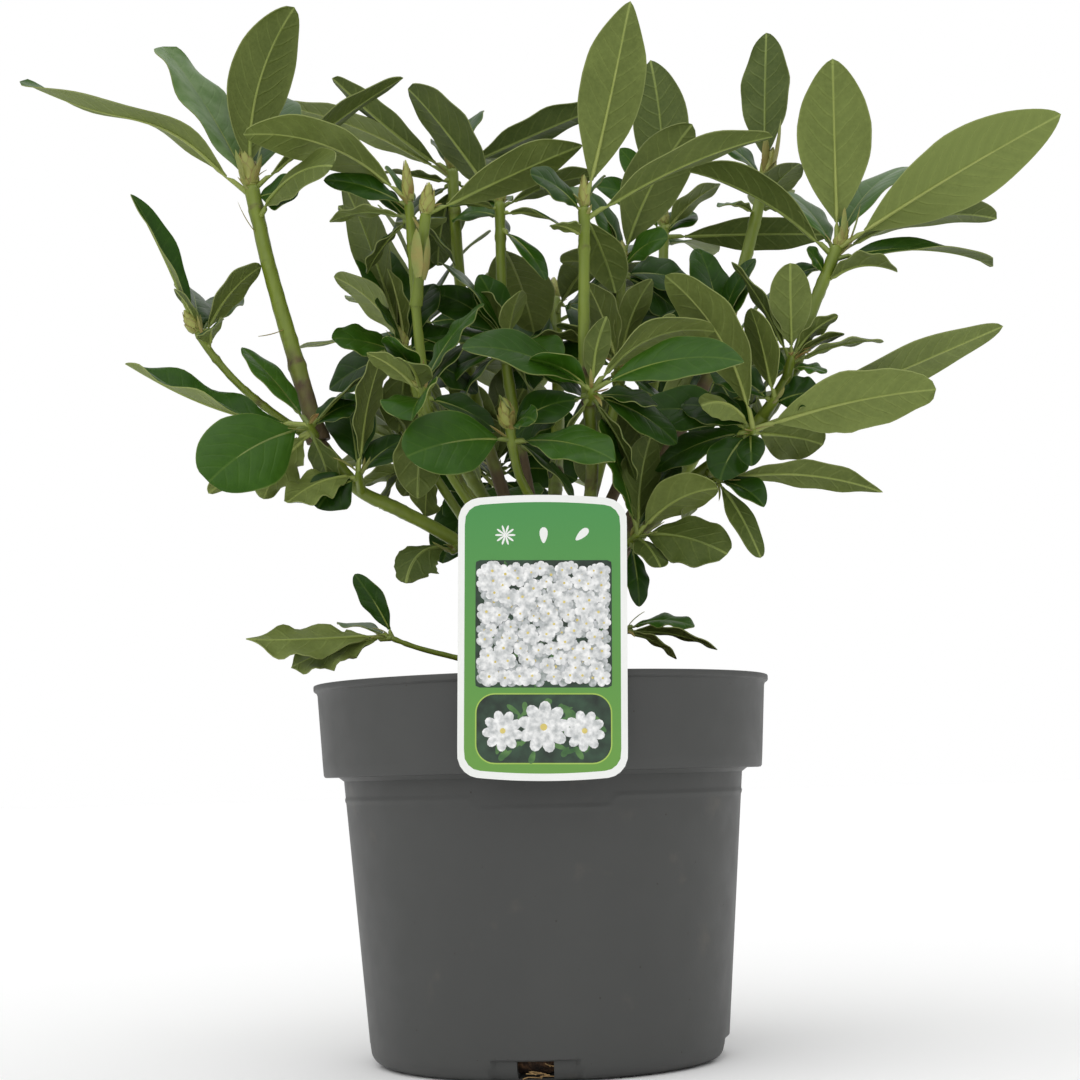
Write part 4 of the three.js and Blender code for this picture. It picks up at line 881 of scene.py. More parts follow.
def add_leaf(bm, foot, leaf, look):
    """One leaf: a blade with its fold, rolled margins and waves. Its own sheet is the upper face."""
    blade_layer = bm.verts.layers.float_vector["blade"]
    tone_layer = bm.verts.layers.float_vector["tone"]
    rows = leaf_rows(foot, leaf, look)
    across = len(COLUMNS) - 1
    tone = Vector(look["tone"])

    def place(u, v, vert):
        centre, cross, up, half, blade, along = rows[round(v * ROWS)]
        x = COLUMNS[round(u * across)]
        wave = look["wave"] * math.sin(math.tau * (look["waves"] * blade + look["phase"] + 0.23 * x))
        lift = look["fold"] * half * abs(x) - look["roll_under"] * half * x**4
        lift += wave * abs(x) ** 2.5 * smooth(0, 0.25, blade) * clamp(half / 6)
        lift -= 0.45 * math.exp(-(x * half / 1.1) ** 2) * (1 - blade)
        edge = 1 + look["ragged"] * abs(x) * noise.noise(Vector((blade * 9, 2 * x, look["phase"] * 7)))
        torn = noise.noise(Vector((blade * 30, math.copysign(3, x), 0)))
        edge -= look["notch"] * smooth(0.8, 0.95, blade) * max(0, torn + 0.2)
        vert[blade_layer] = Vector((x * half, along, abs(x)))
        vert[tone_layer] = tone
        return (centre + cross * (x * half * edge) + up * lift) * MM

    verts, faces = woven(bm, across, ROWS, place)
    tip = [verts[i, ROWS] for i in range(across + 1)]
    bmesh.ops.remove_doubles(bm, verts=tip, dist=1e-6)
    upper = [face for face in faces if face.is_valid]
    bmesh.ops.solidify(bm, geom=upper, thickness=BLADE_THICK * MM)
    coloured(bm.faces, 1)
    coloured(upper, 0)
    return rows


def add_rib(bm, foot, leaf, look, rows):
    """The stalk from the stem and the raised midrib under the blade, one tapering strand."""
    place, upper, _ = leaf_frame(foot, leaf)
    stalk_steps = 5
    rings = []
    for i in range(stalk_steps):
        share = PETIOLE * i / stalk_steps
        ahead = (place(share + 0.01) - place(max(0, share - 0.01))).normalized()
        up = (upper - ahead * upper.dot(ahead)).normalized()
        rings.append((place(share), ahead.cross(up), up, mix(1.6, 1.15, i / stalk_steps) * look["stalk"]))
    for j in range(0, ROWS - 2):
        centre, cross, up, half, blade, _ = rows[j]
        radius = min(mix(1.15, 0.22, blade**0.7) * look["stalk"], max(0.2, half * 0.5))
        sunk = 0.45 * (1 - blade) + 0.25 + 0.35 * radius
        rings.append((centre - up * sunk, cross, up, radius))
    rib_verts = tube(bm, rings, 6, material=2).values()
    blade_layer = bm.verts.layers.float_vector["blade"]
    tone_layer = bm.verts.layers.float_vector["tone"]
    for vert in rib_verts:
        vert[blade_layer] = Vector((0, 0, 0))
        vert[tone_layer] = Vector(look["tone"])


def leaf_of(row):
    """A row of a table of leaves by name: its tip's place from its foot, its width, roll, arch and so on."""
    right, back, up, width, roll, arch, down, *bow = row
    return dict(
        reach=(right, back, up), width=width, roll=roll, arch=arch, down=down, bow=bow[0] if bow else 0.0
    )


def filled_leaves(count, start_at, end_at, seed, steepest=66):
    """The leaves that the part's rule places by itself, each turned by the golden angle from the last."""
    random = Chance(seed)
    start = mix(start_at, end_at, random())
    leaves = []
    for k in range(count):
        share = k / (count - 1) if count > 1 else 0.5
        turned = math.fmod(start - start_at + GOLDEN * k + random.about(24), end_at - start_at)
        turn = math.radians(start_at + turned)
        rise = math.radians(mix(-8, steepest, share) + random.about(20))
        length = mix(96, 78, share) + random.about(16)
        heading = (math.cos(turn) * math.cos(rise), math.sin(turn) * math.cos(rise), math.sin(rise))
        leaves.append(dict(
            reach=tuple(part * length for part in heading), width=length * (0.31 + 0.06 * random()),
            roll=random.about(24), arch=0.05 + 0.08 * random(), down=mix(24, 3, share), bow=0.0,
        ))
    return leaves


def default_look(seed):
    """How a leaf looks where the table says nothing. The seed's first three draws are left unused."""
    random = Chance(seed * 7919 + 13)
    for _ in range(3):
        random()
    return dict(
        tip=mix(0.5, 0.72, random()), wave=mix(0.3, 1.3, random()), waves=mix(1.6, 3.4, random()),
        phase=random(), twist=random.about(0.35), droop=mix(0.0, 0.14, random()), ragged=0.02,
        fold=mix(0.06, 0.16, random()), roll_under=mix(0.05, 0.13, random()), stalk=mix(0.85, 1.1, random()),
        tone=(random(), random(), random()), slim=1.0, notch=0.0, over=False, turn=0.0, rise=0.0, sway=0.0,
        nudge=(0, 0, 0),
    )


KEPT_WITHIN = 1.2


def on_the_part(solid, point):
    """Whether the part's own solid has this leaf's tip, which tells that its rule kept the leaf."""
    _, _, _, apart = solid.find_nearest(point * MM)
    return apart is not None and apart < KEPT_WITHIN * MM


def node_tree_of(name):
    """The faces of one of the part's own solids, to measure distances from."""
    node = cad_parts[name]
    corners = [vert.co.copy() for vert in node.data.vertices]
    faces = [tuple(polygon.vertices) for polygon in node.data.polygons]
    return BVHTree.FromPolygons(corners, faces)


def points_on_limbs(lines):
    """Points close together along every limb, each with the limb's radius there."""
    found = []
    for line, _, thick in lines.values():
        count = round(line.length / 3)
        for i in range(count + 1):
            share = i / count
            found.append((line.at(share), mix(thick[0], thick[1], share)))
    tree = KDTree(len(found))
    for index, (point, _) in enumerate(found):
        tree.insert(point, index)
    tree.balance()
    return tree, found


def clears_limbs(limb_points, foot, leaf, look):
    """Whether a leaf's blade keeps off every limb."""
    tree, found = limb_points
    for centre, cross, _, half, _, _ in leaf_rows(foot, leaf, look)[3:]:
        for side in (-0.9, -0.45, 0, 0.45, 0.9):
            place = centre + cross * (side * half)
            _, index, apart = tree.find(place)
            if apart < found[index][1] + 0.8:
                return False
    return True


# Leaves inside the crown are drawn darker: painted shade, as the inside of the crown lies in shadow.
PAINTED_INNER_SHADE = 0.4


def build_leaves(piece):
    """One piece of the crown: the blades and ribs of the leaves of its masses."""
    lines = limb_lines()
    bm = layered("blade", "tone")
    order = list(MASSES)
    limb_points = points_on_limbs(lines)
    for name in PIECES[piece]:
        mass = MASSES[name]
        line = mass_line(mass, lines)
        solid = node_tree_of(name)
        leaves = [leaf_of(row) for row in mass["leaves"]]
        if "fill" in mass:
            leaves += filled_leaves(*mass["fill"])
        own = len(leaves)
        leaves += [leaf_of(row) for row in EXTRA_LEAVES.get(name, ())]
        for k, leaf in enumerate(leaves):
            foot = line.at(1 - min(leaf["down"] / line.length, STUB_SHARE_LOWEST))
            if k < own and not on_the_part(solid, foot + Vector(leaf["reach"])):
                continue
            look = default_look(order.index(name) * 40 + k)
            look.update(LOOKS.get(name, {}).get(k, {}))
            leaf["roll"] += look["turn"] + (180 if look["over"] else 0)
            leaf["reach"] = tuple(Vector(leaf["reach"]) + Vector(look["nudge"]))
            leaf["arch"] += look["rise"]
            if k >= own:
                if not clears_limbs(limb_points, foot, leaf, look):
                    continue
                # Painted shade: the extra leaves inside the crown get darker tones.
                look["tone"] = [PAINTED_INNER_SHADE * part for part in look["tone"]]
            part = layered("blade", "tone")
            rows = add_leaf(part, foot, leaf, look)
            add_rib(part, foot, leaf, look, rows)
            poured(bm, part)
    materials = [leaf_upper_face(), leaf_underside(), leaf_rib()]
    finish_piece(piece, bm, materials, PIECES[piece], sharp=60)


# --- buds and bracts --------------------------------------------------------------------------------------

BUD_SCALES = 15
SCALE_THICK = 0.35
BRACT_THICK = 0.3


def bud_radius(share):
    """A bud's outline: narrow at its root, full at an eighth of its length, then drawn in to the tip."""
    if share < 0.12:
        return mix(0.62, 1, smooth(-0.12, 0.12, share))
    return max(0.03, (1 - ((share - 0.12) / 0.88) ** 2.1) ** 0.8)


def add_bud(piece, tip, heading, length, radius, seed):
    """A bud: a smooth core in overlapping scales, each drawn to a point and a little free at its tip."""
    bm = layered("blade")
    blade_layer = bm.verts.layers.float_vector["blade"]
    random = Chance(seed)
    side, up = across_of(heading)
    core = []
    for i in range(13):
        share = mix(-0.12, 0.97, i / 12)
        core.append((tip + heading * (share * length), side, up, 0.86 * radius * bud_radius(share)))
    for vert in tube(bm, core, 12).values():
        vert[blade_layer] = Vector((0, 0, 0))
    for k in range(BUD_SCALES):
        share = k / (BUD_SCALES - 1)
        start = mix(-0.1, 0.5, share)
        reach = mix(0.42, 0.5, random())
        facing = math.radians(GOLDEN * k) + 0.2 * random()
        spread = math.radians(mix(64, 46, share))
        free = mix(0.5, 1.0, random()) * radius * 0.13

        def place(u, v, vert, start=start, reach=reach, facing=facing, spread=spread, free=free):
            x = 2 * u - 1
            at = min(0.985, start + reach * v)
            turn = facing + spread * x * (1 - v**1.7)
            out = radius * bud_radius(at) * mix(0.9, 1.02, v) + 0.25 + free * v**3
            vert[blade_layer] = Vector((x, v, max(abs(x), v**2)))
            return round_about(tip + heading * (at * length), side, up, turn, out) * MM

        verts, faces = woven(bm, 6, 6, place)
        point = [verts[i, 6] for i in range(7)]
        bmesh.ops.remove_doubles(bm, verts=point, dist=1e-6)
        faces = [face for face in faces if face.is_valid]
        bmesh.ops.recalc_face_normals(bm, faces=faces)
        bmesh.ops.solidify(bm, geom=faces, thickness=SCALE_THICK * MM)
    coloured(bm.faces, 0)
    poured(piece, bm)


def add_bract(piece, foot, heading, length, width, seed):
    """A narrow dry bract at a whorl, curling as it goes."""
    bm = layered("blade")
    blade_layer = bm.verts.layers.float_vector["blade"]
    side = heading.cross(Vector((0, 0, 1))).normalized()
    up = side.cross(heading)
    curl = Chance(seed).about(0.9)

    def place(u, v, vert):
        x = 2 * u - 1
        half = width / 2 * max(0.0, math.sin(math.pi * (0.12 + 0.88 * v))) ** 0.7
        bend = up * (curl * length * v * v) + side * (x * half) + up * (0.25 * half * x * x)
        vert[blade_layer] = Vector((x, v, 1.0))
        return (foot + heading * (length * v) + bend) * MM

    _, faces = woven(bm, 4, 8, place)
    bmesh.ops.solidify(bm, geom=list(faces), thickness=BRACT_THICK * MM)
    coloured(bm.faces, 1)
    poured(piece, bm)


BRACTS_FOR_EACH_WHORL = 3
# How much of its solid's length and radius a bud keeps, where its scales lie closer.
BUD_SHARES = {
    "bud_shoot": (0.9, 0.66), "left_centre_leaves": (0.95, 0.75), "centre_leaves": (1, 0.68),
    "left_top_leaves": (1, 0.86), "rear_left_leaves": (1, 0.8), "right_top_leaves": (1, 0.8),
}


def build_buds():
    """A bud at the tip of each mass that has one, and dry bracts among its stalks."""
    lines = limb_lines()
    bm = layered("blade")
    for number, (name, mass) in enumerate(MASSES.items()):
        line = mass_line(mass, lines)
        tip, heading = line.at(1), line.heading(1)
        random = Chance(SEEDS["whorl"] + number)
        if "bud" in mass:
            length, radius = mass["bud"]
            long, slender = BUD_SHARES.get(name, (1, 1))
            add_bud(bm, tip, heading, length * long, radius * slender, SEEDS["bud"] + number)
        for k in range(BRACTS_FOR_EACH_WHORL):
            turn = math.radians(GOLDEN * k) + math.tau * random()
            side, up = across_of(heading)
            out = side * math.cos(turn) + up * math.sin(turn)
            aim = (out * mix(0.5, 1.0, random()) + heading).normalized()
            foot = line.at(1 - 0.12 * k) + out * 1.2
            seed = SEEDS["bract"] + 10 * number + k
            add_bract(bm, foot, aim, mix(7, 15, random()), mix(1.6, 3.0, random()), seed)
    for foot, aim, length, width in NAMED_BRACTS:
        add_bract(bm, Vector(foot), Vector(aim).normalized(), length, width, 3)
    finish_piece("buds", bm, [bud_scale(), dry_bract()])


# --- pot, potting mix and label ---------------------------------------------------------------------------


def wall_at(height):
    """The outer radius of the pot's wall at a height below its collar."""
    return mix(WALL_FOOT_RADIUS, WALL_TOP_RADIUS, height / COLLAR_FOOT)


def arc(centre, radius, from_degrees, to_degrees, steps):
    """Points along an arc of the profile."""
    places = []
    for i in range(steps + 1):
        turn = math.radians(mix(from_degrees, to_degrees, i / steps))
        places.append((centre[0] + radius * math.cos(turn), centre[1] + radius * math.sin(turn)))
    return places


def pot_profile(height, lip_radius, wall):
    """The pot's section from the middle of its underside, up the outside and down the inside."""
    outside = [(0, 0), (30, 0), (60, 0), (76, 0)]
    outside += arc((wall_at(FOOT_ROUND) - FOOT_ROUND, FOOT_ROUND), FOOT_ROUND, -90, 0, 8)
    fine = [9, 9.6, 10, 10.6, 12] + [14 + 6 * k for k in range(18)] + [120 + 1.0 * k for k in range(20)]
    outside += [(wall_at(z), z) for z in fine]
    foot, under, neck = COLLAR_FOOT, COLLAR_FOOT_RADIUS, wall_at(COLLAR_FOOT)
    outside += [(neck - 0.2, foot - 0.6), (neck + 0.5, foot)]
    outside += [(under - 1.6, foot), (under - 0.7, foot + 0.2), (under - 0.1, foot + 1.1)]
    top = height - LIP_DEPTH
    for k in range(1, 9):
        share = k / 8
        outside.append((mix(under, COLLAR_TOP_RADIUS, share), mix(foot + 1.5, top - 1.6, share)))
    outside += [(COLLAR_TOP_RADIUS + 0.4, top - 0.4), (lip_radius - 0.6, top + 0.3)]
    outside += [(lip_radius - 0.1, top + 0.8), (lip_radius, top + 1.4), (lip_radius, height - 0.7)]
    outside += [(lip_radius - 0.2, height - 0.2), (lip_radius - 0.7, height)]
    inner = COLLAR_TOP_RADIUS - wall
    inside = [(inner + 0.3, height), (inner - 0.3, height - 0.2), (inner - 0.5, height - 0.8)]
    inside += [(under - wall, foot + 5), (under - wall - 1, foot + 3.4)]
    inside += [(neck - wall + 1, foot - 2.6), (neck - wall, foot - 4)]
    inside += [(wall_at(z) - wall, z) for z in (100, 60, 30, 14, 11, 10, 9.6, 9, 8, 6)]
    inside += [(wall_at(FOOT_ROUND) - wall - 2, 4), (78, 3), (50, 3), (0, 3)]
    return outside + inside


def turned(bm, profile, steps):
    """A closed body turned round +Z from a profile that starts and ends on the axis."""
    verts = [bm.verts.new((radius * MM, 0, height * MM)) for radius, height in profile]
    edges = [bm.edges.new(pair) for pair in zip(verts, verts[1:])]
    bmesh.ops.spin(
        bm, geom=verts + edges, axis=(0, 0, 1), cent=(0, 0, 0), angle=math.tau, steps=steps, use_merge=True
    )
    bmesh.ops.remove_doubles(bm, verts=bm.verts[:], dist=1e-6)
    bmesh.ops.recalc_face_normals(bm, faces=bm.faces[:])
    coloured(bm.faces, 0)


def recess_share(x, z):
    """How far a point of the wall, x along it and z up, lies inside a drain recess: 0 outside, 1 inside."""
    half = mix(DRAIN["foot_width"], DRAIN["top_width"], clamp(z / DRAIN["height"])) / 2
    return smooth(half + 0.5, half - 1.2, abs(x)) * smooth(DRAIN["height"] + 0.3, DRAIN["height"] - 0.5, z)


def build_pot(settings):
    """The moulded pot: a deep collar, a thin flared lip and drain recesses, each with a hole through it."""
    bm = bmesh.new()
    profile = pot_profile(settings.height / MM, settings.lip_radius / MM, settings.wall / MM)
    turned(bm, profile, settings.facets)
    bead_height = 129.5
    for vert in bm.verts:
        radius = math.hypot(vert.co.x, vert.co.y) / MM
        z = vert.co.z / MM
        if radius < 1:
            continue
        # Angle from the front, so that the label's place and the drain recesses can be told.
        turn = math.atan2(vert.co.x, -vert.co.y)
        step = math.tau / DRAIN["count"]
        near = math.remainder(turn - math.radians(DRAIN_FACING), step)
        push = 0.0
        if z < DRAIN["height"] + 0.4 and radius > 70:
            push = -DRAIN["depth"] * recess_share(near * WALL_FOOT_RADIUS, z) * smooth(70, 80, radius)
        outside = radius > wall_at(z) - 1 and 121 < z < 138
        if outside:
            dip = 5 * smooth(0.36, 0.3, abs(turn))
            push += 0.55 * math.exp(-((z - bead_height + dip) / 0.9) ** 2)
        factor = (radius + push) / radius
        vert.co.x *= factor
        vert.co.y *= factor
    # Each hole is cut through both walls of its recess, and its rim is closed between them.
    low, high = DRAIN["hole"]
    for i in range(DRAIN["count"]):
        facing = math.radians(DRAIN_FACING) + math.tau * i / DRAIN["count"]
        cut = []
        for face in bm.faces:
            centre = face.calc_center_median() / MM
            if not (low < centre.z < high) or math.hypot(centre.x, centre.y) < 79:
                continue
            near = math.remainder(math.atan2(centre.x, -centre.y) - facing, math.tau)
            if abs(near) * WALL_FOOT_RADIUS < DRAIN["hole_width"] / 2:
                cut.append(face)
        bmesh.ops.delete(bm, geom=cut, context="FACES")
        rims = [edge for edge in bm.edges if edge.is_boundary]
        bmesh.ops.bridge_loops(bm, edges=rims)
    bmesh.ops.recalc_face_normals(bm, faces=bm.faces[:])
    finish_piece("nursery_pot", bm, [moulded_polypropylene()], ("pot",), sharp=34)


def build_mix():
    """The potting mix: a turned body with a crumbled top."""
    bm = bmesh.new()
    top = MIX["crown"]
    inner = COLLAR_FOOT_RADIUS - 3.2
    foot = MIX["foot"]
    profile = [(0, foot), (60, foot), (79, foot), (82, 9), (85, 14), (95.5, 132), (96.5, 137)]
    profile += [(inner - 1, 146), (inner, 150), (inner + 0.8, 166), (inner - 2, 168.6)]
    profile += [(radius, mix(MIX["edge"], top, smooth(110, 40, radius))) for radius in range(102, 2, -3)]
    profile.append((0, top))
    turned(bm, profile, 160)
    for vert in bm.verts:
        place = vert.co / MM
        if place.z > 168 and math.hypot(place.x, place.y) < inner - 1:
            lumps = noise.noise(place * 0.09) * 1.1 + noise.noise(place * 0.32) * 0.8
            vert.co.z += (min(lumps, 0.9) - 1.0) * MM
        elif place.z < 30:
            rough = noise.noise(place * 0.35)
            vert.co.x *= 1 - 0.008 * abs(rough)
            vert.co.y *= 1 - 0.008 * abs(rough)
    finish_piece("potting_mix_body", bm, [potting_mix()], ("potting_mix",), sharp=80)


# How many crumbs and fibres are strewn or hang in the front drain hole, and where that hole's face is.
CRUMBS = 760
FIBRES = 46
HANGING_FIBRES = 9
HOLE_FRONT = -83.2


def build_crumbs():
    """What lies on the mix: crumbs of bark and perlite, and fibres of coir."""
    bm = bmesh.new()
    random = Chance(SEEDS["crumb"])
    for k in range(CRUMBS):
        turn = math.tau * random()
        radius = 105.5 * math.sqrt(random())
        if radius > 15:
            add_crumb(bm, random, radius, turn, Vector((k, 0, 0)))
    # Fibres of coir, on the top and hanging in the front drain hole.
    for _ in range(FIBRES):
        turn, radius = math.tau * random(), 98 * math.sqrt(random())
        start = polar(radius, turn, MIX["edge"] + 1.6)
        aim = math.tau * random()
        length = mix(8, 26, random())
        step = polar(1, aim) * (length / 4)
        points = [
            start + step * i + Vector((random.about(3), random.about(3), 0.9 * random())) for i in range(5)
        ]
        add_fibre(bm, points, 0.22)
    for _ in range(HANGING_FIBRES):
        x = random.about(15)
        z = mix(2.4, 7.5, random())
        points = [
            Vector((x + 4 * i * random.about(2), HOLE_FRONT - 0.5 * random(), z + random.about(2.4)))
            for i in range(3)
        ]
        points.append(points[-1] + Vector((random.about(8), -0.4, random.about(2))))
        add_fibre(bm, points, 0.25)
    finish_piece("mix_crumbs", bm, [bark_crumb(), coir_fibre(), perlite()])


def add_crumb(piece, random, radius, turn, seed):
    """One crumb of bark, fibre or perlite, flattened and lying at any angle."""
    bm = bmesh.new()
    size = mix(1.2, 5.2, random() ** 2.2)
    height = mix(MIX["edge"], MIX["crown"], smooth(110, 40, radius)) - 0.4
    spot = polar(radius, turn, height + 0.25 * size * random())
    kind = random()
    made = bmesh.ops.create_icosphere(bm, subdivisions=1, radius=0.5 * size * MM)["verts"]
    stretch = (mix(0.8, 2.2, random()), mix(0.6, 1.0, random()), mix(0.25, 0.7, random()))
    bmesh.ops.scale(bm, verts=made, vec=stretch)
    for vert in made:
        vert.co *= 1 + 0.25 * noise.noise(vert.co * 900 + seed)
    spin = Matrix.Rotation(math.tau * random(), 3, "Z") @ Matrix.Rotation(random.about(0.9), 3, "X")
    bmesh.ops.rotate(bm, verts=made, matrix=spin, cent=(0, 0, 0))
    bmesh.ops.translate(bm, verts=made, vec=spot * MM)
    for face in bm.faces:
        face.material_index = 0 if kind < 0.6 else 1 if kind < 0.93 else 2
    poured(piece, bm)


def add_fibre(piece, points, radius):
    bm = bmesh.new()
    line = Line(points)
    rings = []
    for i in range(9):
        heading = line.heading(i / 8)
        side = heading.cross(Vector((0, 0, 1))).normalized()
        rings.append((line.at(i / 8), side, heading.cross(side), radius))
    tube(bm, rings, 5, material=1)
    poured(piece, bm)


STRAP = dict(width=17, thick=0.7)
# The label's colours and the material number of each, and the height of one printed layer.
PRINT = dict(white=0, green=1, shade=2, bloom=3, heart=4, leaf=5, outline=6, far_bloom=7)
PRINT_STEP = 0.012


def label_matrix():
    """From the label's own flat frame, x across it and y up it from its middle, to its place on the pot."""
    middle = Vector((LABEL["right"], -LABEL["front"], LABEL["low"] + LABEL["height"] / 2)) * MM
    stand = Matrix.Rotation(math.radians(90), 4, "X")
    lean = Matrix.Rotation(math.radians(LABEL["lean"]), 4, "Y")
    return Matrix.Translation(middle) @ lean @ stand


def plate_edge(turn, width, height, corner, bulge):
    """Where a ray from a round-cornered plate's middle leaves it. Its two ends bow out by the bulge."""
    heading = Vector((math.cos(turn), math.sin(turn)))
    low, high = 0.0, width + height
    for _ in range(32):
        reach = (low + high) / 2
        x, y = abs(heading.x) * reach, abs(heading.y) * reach
        half_height = height / 2 - bulge * (2 * x / width) ** 2
        past = Vector((max(x - width / 2 + corner, 0), max(y - half_height + corner, 0)))
        if past.length > corner:
            high = reach
        else:
            low = reach
    return heading * low


def raised(piece, bm, thick, material, centre, base):
    """Turns a flat face into a plate, gives it its colour, and adds it to the piece with its back at base."""
    lifted = bmesh.ops.extrude_face_region(bm, geom=bm.faces[:])
    top = [v for v in lifted["geom"] if isinstance(v, bmesh.types.BMVert)]
    bmesh.ops.translate(bm, verts=top, vec=(0, 0, thick))
    bmesh.ops.recalc_face_normals(bm, faces=bm.faces[:])
    for face in bm.faces:
        face.material_index = PRINT[material]
    bmesh.ops.translate(bm, verts=bm.verts[:], vec=(*centre, base))
    poured(piece, bm)


def rounded_plate(piece, centre, width, height, corner, thick, base, material, bulge=0.0):
    """A flat plate with round corners and, if asked, bowed ends."""
    bm = bmesh.new()
    made = bmesh.ops.create_circle(bm, cap_ends=True, segments=144, radius=1)["verts"]
    for vert in made:
        vert.co = plate_edge(math.atan2(vert.co.y, vert.co.x), width, height, corner, bulge).to_3d()
    raised(piece, bm, thick, material, centre, base)


def petal(piece, centre, turn, length, width, base, material):
    """A flat printed petal, wider towards its end, that leaves its centre at this turn."""
    bm = bmesh.new()
    made = bmesh.ops.create_circle(bm, cap_ends=True, segments=14, radius=0.5)["verts"]
    for vert in made:
        taper = 1 + 0.35 * vert.co.x * 2
        vert.co.x, vert.co.y = vert.co.x * length, vert.co.y * width * taper
    bmesh.ops.translate(bm, verts=made, vec=(0.52 * length, 0, 0))
    bmesh.ops.rotate(bm, verts=made, matrix=Matrix.Rotation(turn, 3, "Z"), cent=(0, 0, 0))
    raised(piece, bm, PRINT_STEP / 2, material, centre, base)


def flower(piece, centre, size, petals, turn, base, colour="bloom"):
    """A printed flower: petals round a heart."""
    for k in range(petals):
        # No two faces may lie at one height, because where they overlap they would render black.
        layer = base + PRINT_STEP * k / 20
        petal(piece, centre, turn + math.tau * k / petals, size, size * 0.84 * 5 / petals, layer, colour)
    bm = bmesh.new()
    bmesh.ops.create_circle(bm, cap_ends=True, segments=12, radius=size * 0.14)
    raised(piece, bm, PRINT_STEP / 2, "heart", centre, base + PRINT_STEP / 2)


def build_label():
    """The plastic plant label: a white-edged green plate with simple flowers, and a hook over the rim."""
    bm = bmesh.new()
    width, height, thick, step = LABEL["width"], LABEL["height"], LABEL["thick"], PRINT_STEP
    rounded_plate(bm, (0, 0), width, height, LABEL["corner"], thick, -thick, "white", LABEL["bulge"])
    rounded_plate(bm, (0, 0), width - 6, height - 6.6, 7, step, -step / 2, "green", 2.0)
    # A broad picture of five-petalled flowers over dark leaves.
    rounded_plate(bm, (0.5, 6), 62, 58, 1.6, step, step / 2, "shade")
    random = Chance(SEEDS["label"])
    for k in range(60):
        x, y = 0.5 + random.about(55), 6 + random.about(51)
        turn, length, wide = math.tau * random(), mix(3.5, 6, random()), mix(1.2, 2.0, random())
        petal(bm, (x, y), turn, length, wide, (2 + k / 15) * step, "leaf")
    for k in range(150):
        near = k >= 66
        size = mix(3.1, 4.6, random()) if near else mix(3.4, 5.2, random())
        # The golden share spreads the flowers evenly, with no two in a row.
        x = clamp(math.fmod(k * 0.618034, 1) * 60 - 30 + random.about(4), size - 30.6, 30.6 - size)
        y = clamp((k % 75) / 75 * 56 - 28 + random.about(5), size - 28.6, 28.6 - size)
        colour = "bloom" if near else "far_bloom"
        flower(bm, (x + 0.5, y + 6), size, 5, math.tau * random(), (7 + k / 3) * step, colour)
    # A lower picture of three larger daisies, with a thin light outline.
    rounded_plate(bm, (0.5, -41.5), 62, 32, 9, step, step, "outline")
    rounded_plate(bm, (0.5, -41.5), 60.8, 30.8, 8.4, step, 2 * step, "shade")
    for k in range(44):
        x, y = 0.5 + random.about(46), -41.5 + random.about(20)
        turn, length, wide = math.tau * random(), mix(5, 8, random()), mix(1.8, 2.8, random())
        petal(bm, (x, y), turn, length, wide, (4 + k / 9) * step, "leaf")
    for x, y, size in ((-18, -42.5, 9.2), (0.5, -40.8, 11.6), (19, -42.5, 9.2)):
        flower(bm, (x, y), size, 9, 0.3 + x, (10 if x == 0.5 else 14) * step)
    # Three plain care signs in white at the top: a sun, a drop and a leaf.
    for k in range(10):
        petal(bm, (-17, 46.5), math.tau * k / 10, 4.6, 0.9, (1 + k % 2) * step, "white")
    for place, turn, length, wide in (((0.5, 42.6), math.pi / 2, 7.4, 3.6), ((15, 44), 0.75, 7.8, 3.4)):
        petal(bm, place, turn, length, wide, step, "white")
    bmesh.ops.scale(bm, verts=bm.verts[:], vec=(MM, MM, MM))
    bmesh.ops.transform(bm, matrix=label_matrix(), verts=bm.verts[:])
    # The strap that hooks over the rim and down inside the collar.
    front = -LABEL["front"]
    inside = -(COLLAR_TOP_RADIUS - 2 - 3.4)
    path = Line([
        (0, front + 0.9, 184), (0, front + 0.95, 187.6), (0, front + 2.2, 188.75), (0, inside - 2.4, 188.75),
        (0, inside - 0.45, 187.4), (0, inside - 0.45, 180), (0, inside - 0.45, 173),
    ])

    def strap(u, v, vert):
        place = path.at(v)
        return Vector((LABEL["right"] + (u - 0.5) * STRAP["width"], place.y, place.z)) * MM

    hook = bmesh.new()
    _, faces = woven(hook, 2, 30, strap)
    bmesh.ops.solidify(hook, geom=list(faces), thickness=STRAP["thick"] * MM)
    poured(bm, hook)
    materials = [printed_polystyrene(name) for name in PRINT]
    finish_piece("plant_label", bm, materials, ("label",), sharp=30)


# --- materials --------------------------------------------------------------------------------------------


# Settings that many nodes share: colours to be mixed, an eased range, and three sums.
COLOURS = dict(data_type="RGBA")
EASED = dict(interpolation_type="SMOOTHSTEP")
PLUS = dict(operation="ADD")
LESS = dict(operation="SUBTRACT")
TIMES = dict(operation="MULTIPLY")


def feed(tree, socket, source):
    """Sets a socket from another node's socket, a colour, a number or a vector."""
    if isinstance(source, bpy.types.NodeSocket):
        tree.links.new(source, socket)
    else:
        socket.default_value = linear(source) if isinstance(source, (str, Color)) else source


def add(tree, kind, *sources, out=None, stops=(), **settings):
    """Adds a node, and gives its first usable output or the one that is named.

    Sources feed its usable inputs in order. A setting with a capital letter feeds the input of that name, and
    any other sets one of the node's own properties. Stops are a ramp's places and colours.
    """
    node = tree.nodes.new("ShaderNode" + kind)
    for name in filter(str.islower, settings):
        setattr(node, name, settings[name])
    for socket, source in zip([socket for socket in node.inputs if socket.enabled], sources):
        feed(tree, socket, source)
    for name in filter(str.istitle, settings):
        feed(tree, node.inputs[name], settings[name])
    for i, (place, colour) in enumerate(stops):
        elements = node.color_ramp.elements
        element = elements[i] if i < len(elements) else elements.new(place)
        element.position = place
        element.color = linear(colour)
    if out:
        return node.outputs[out]
    return next((socket for socket in node.outputs if socket.enabled), None)


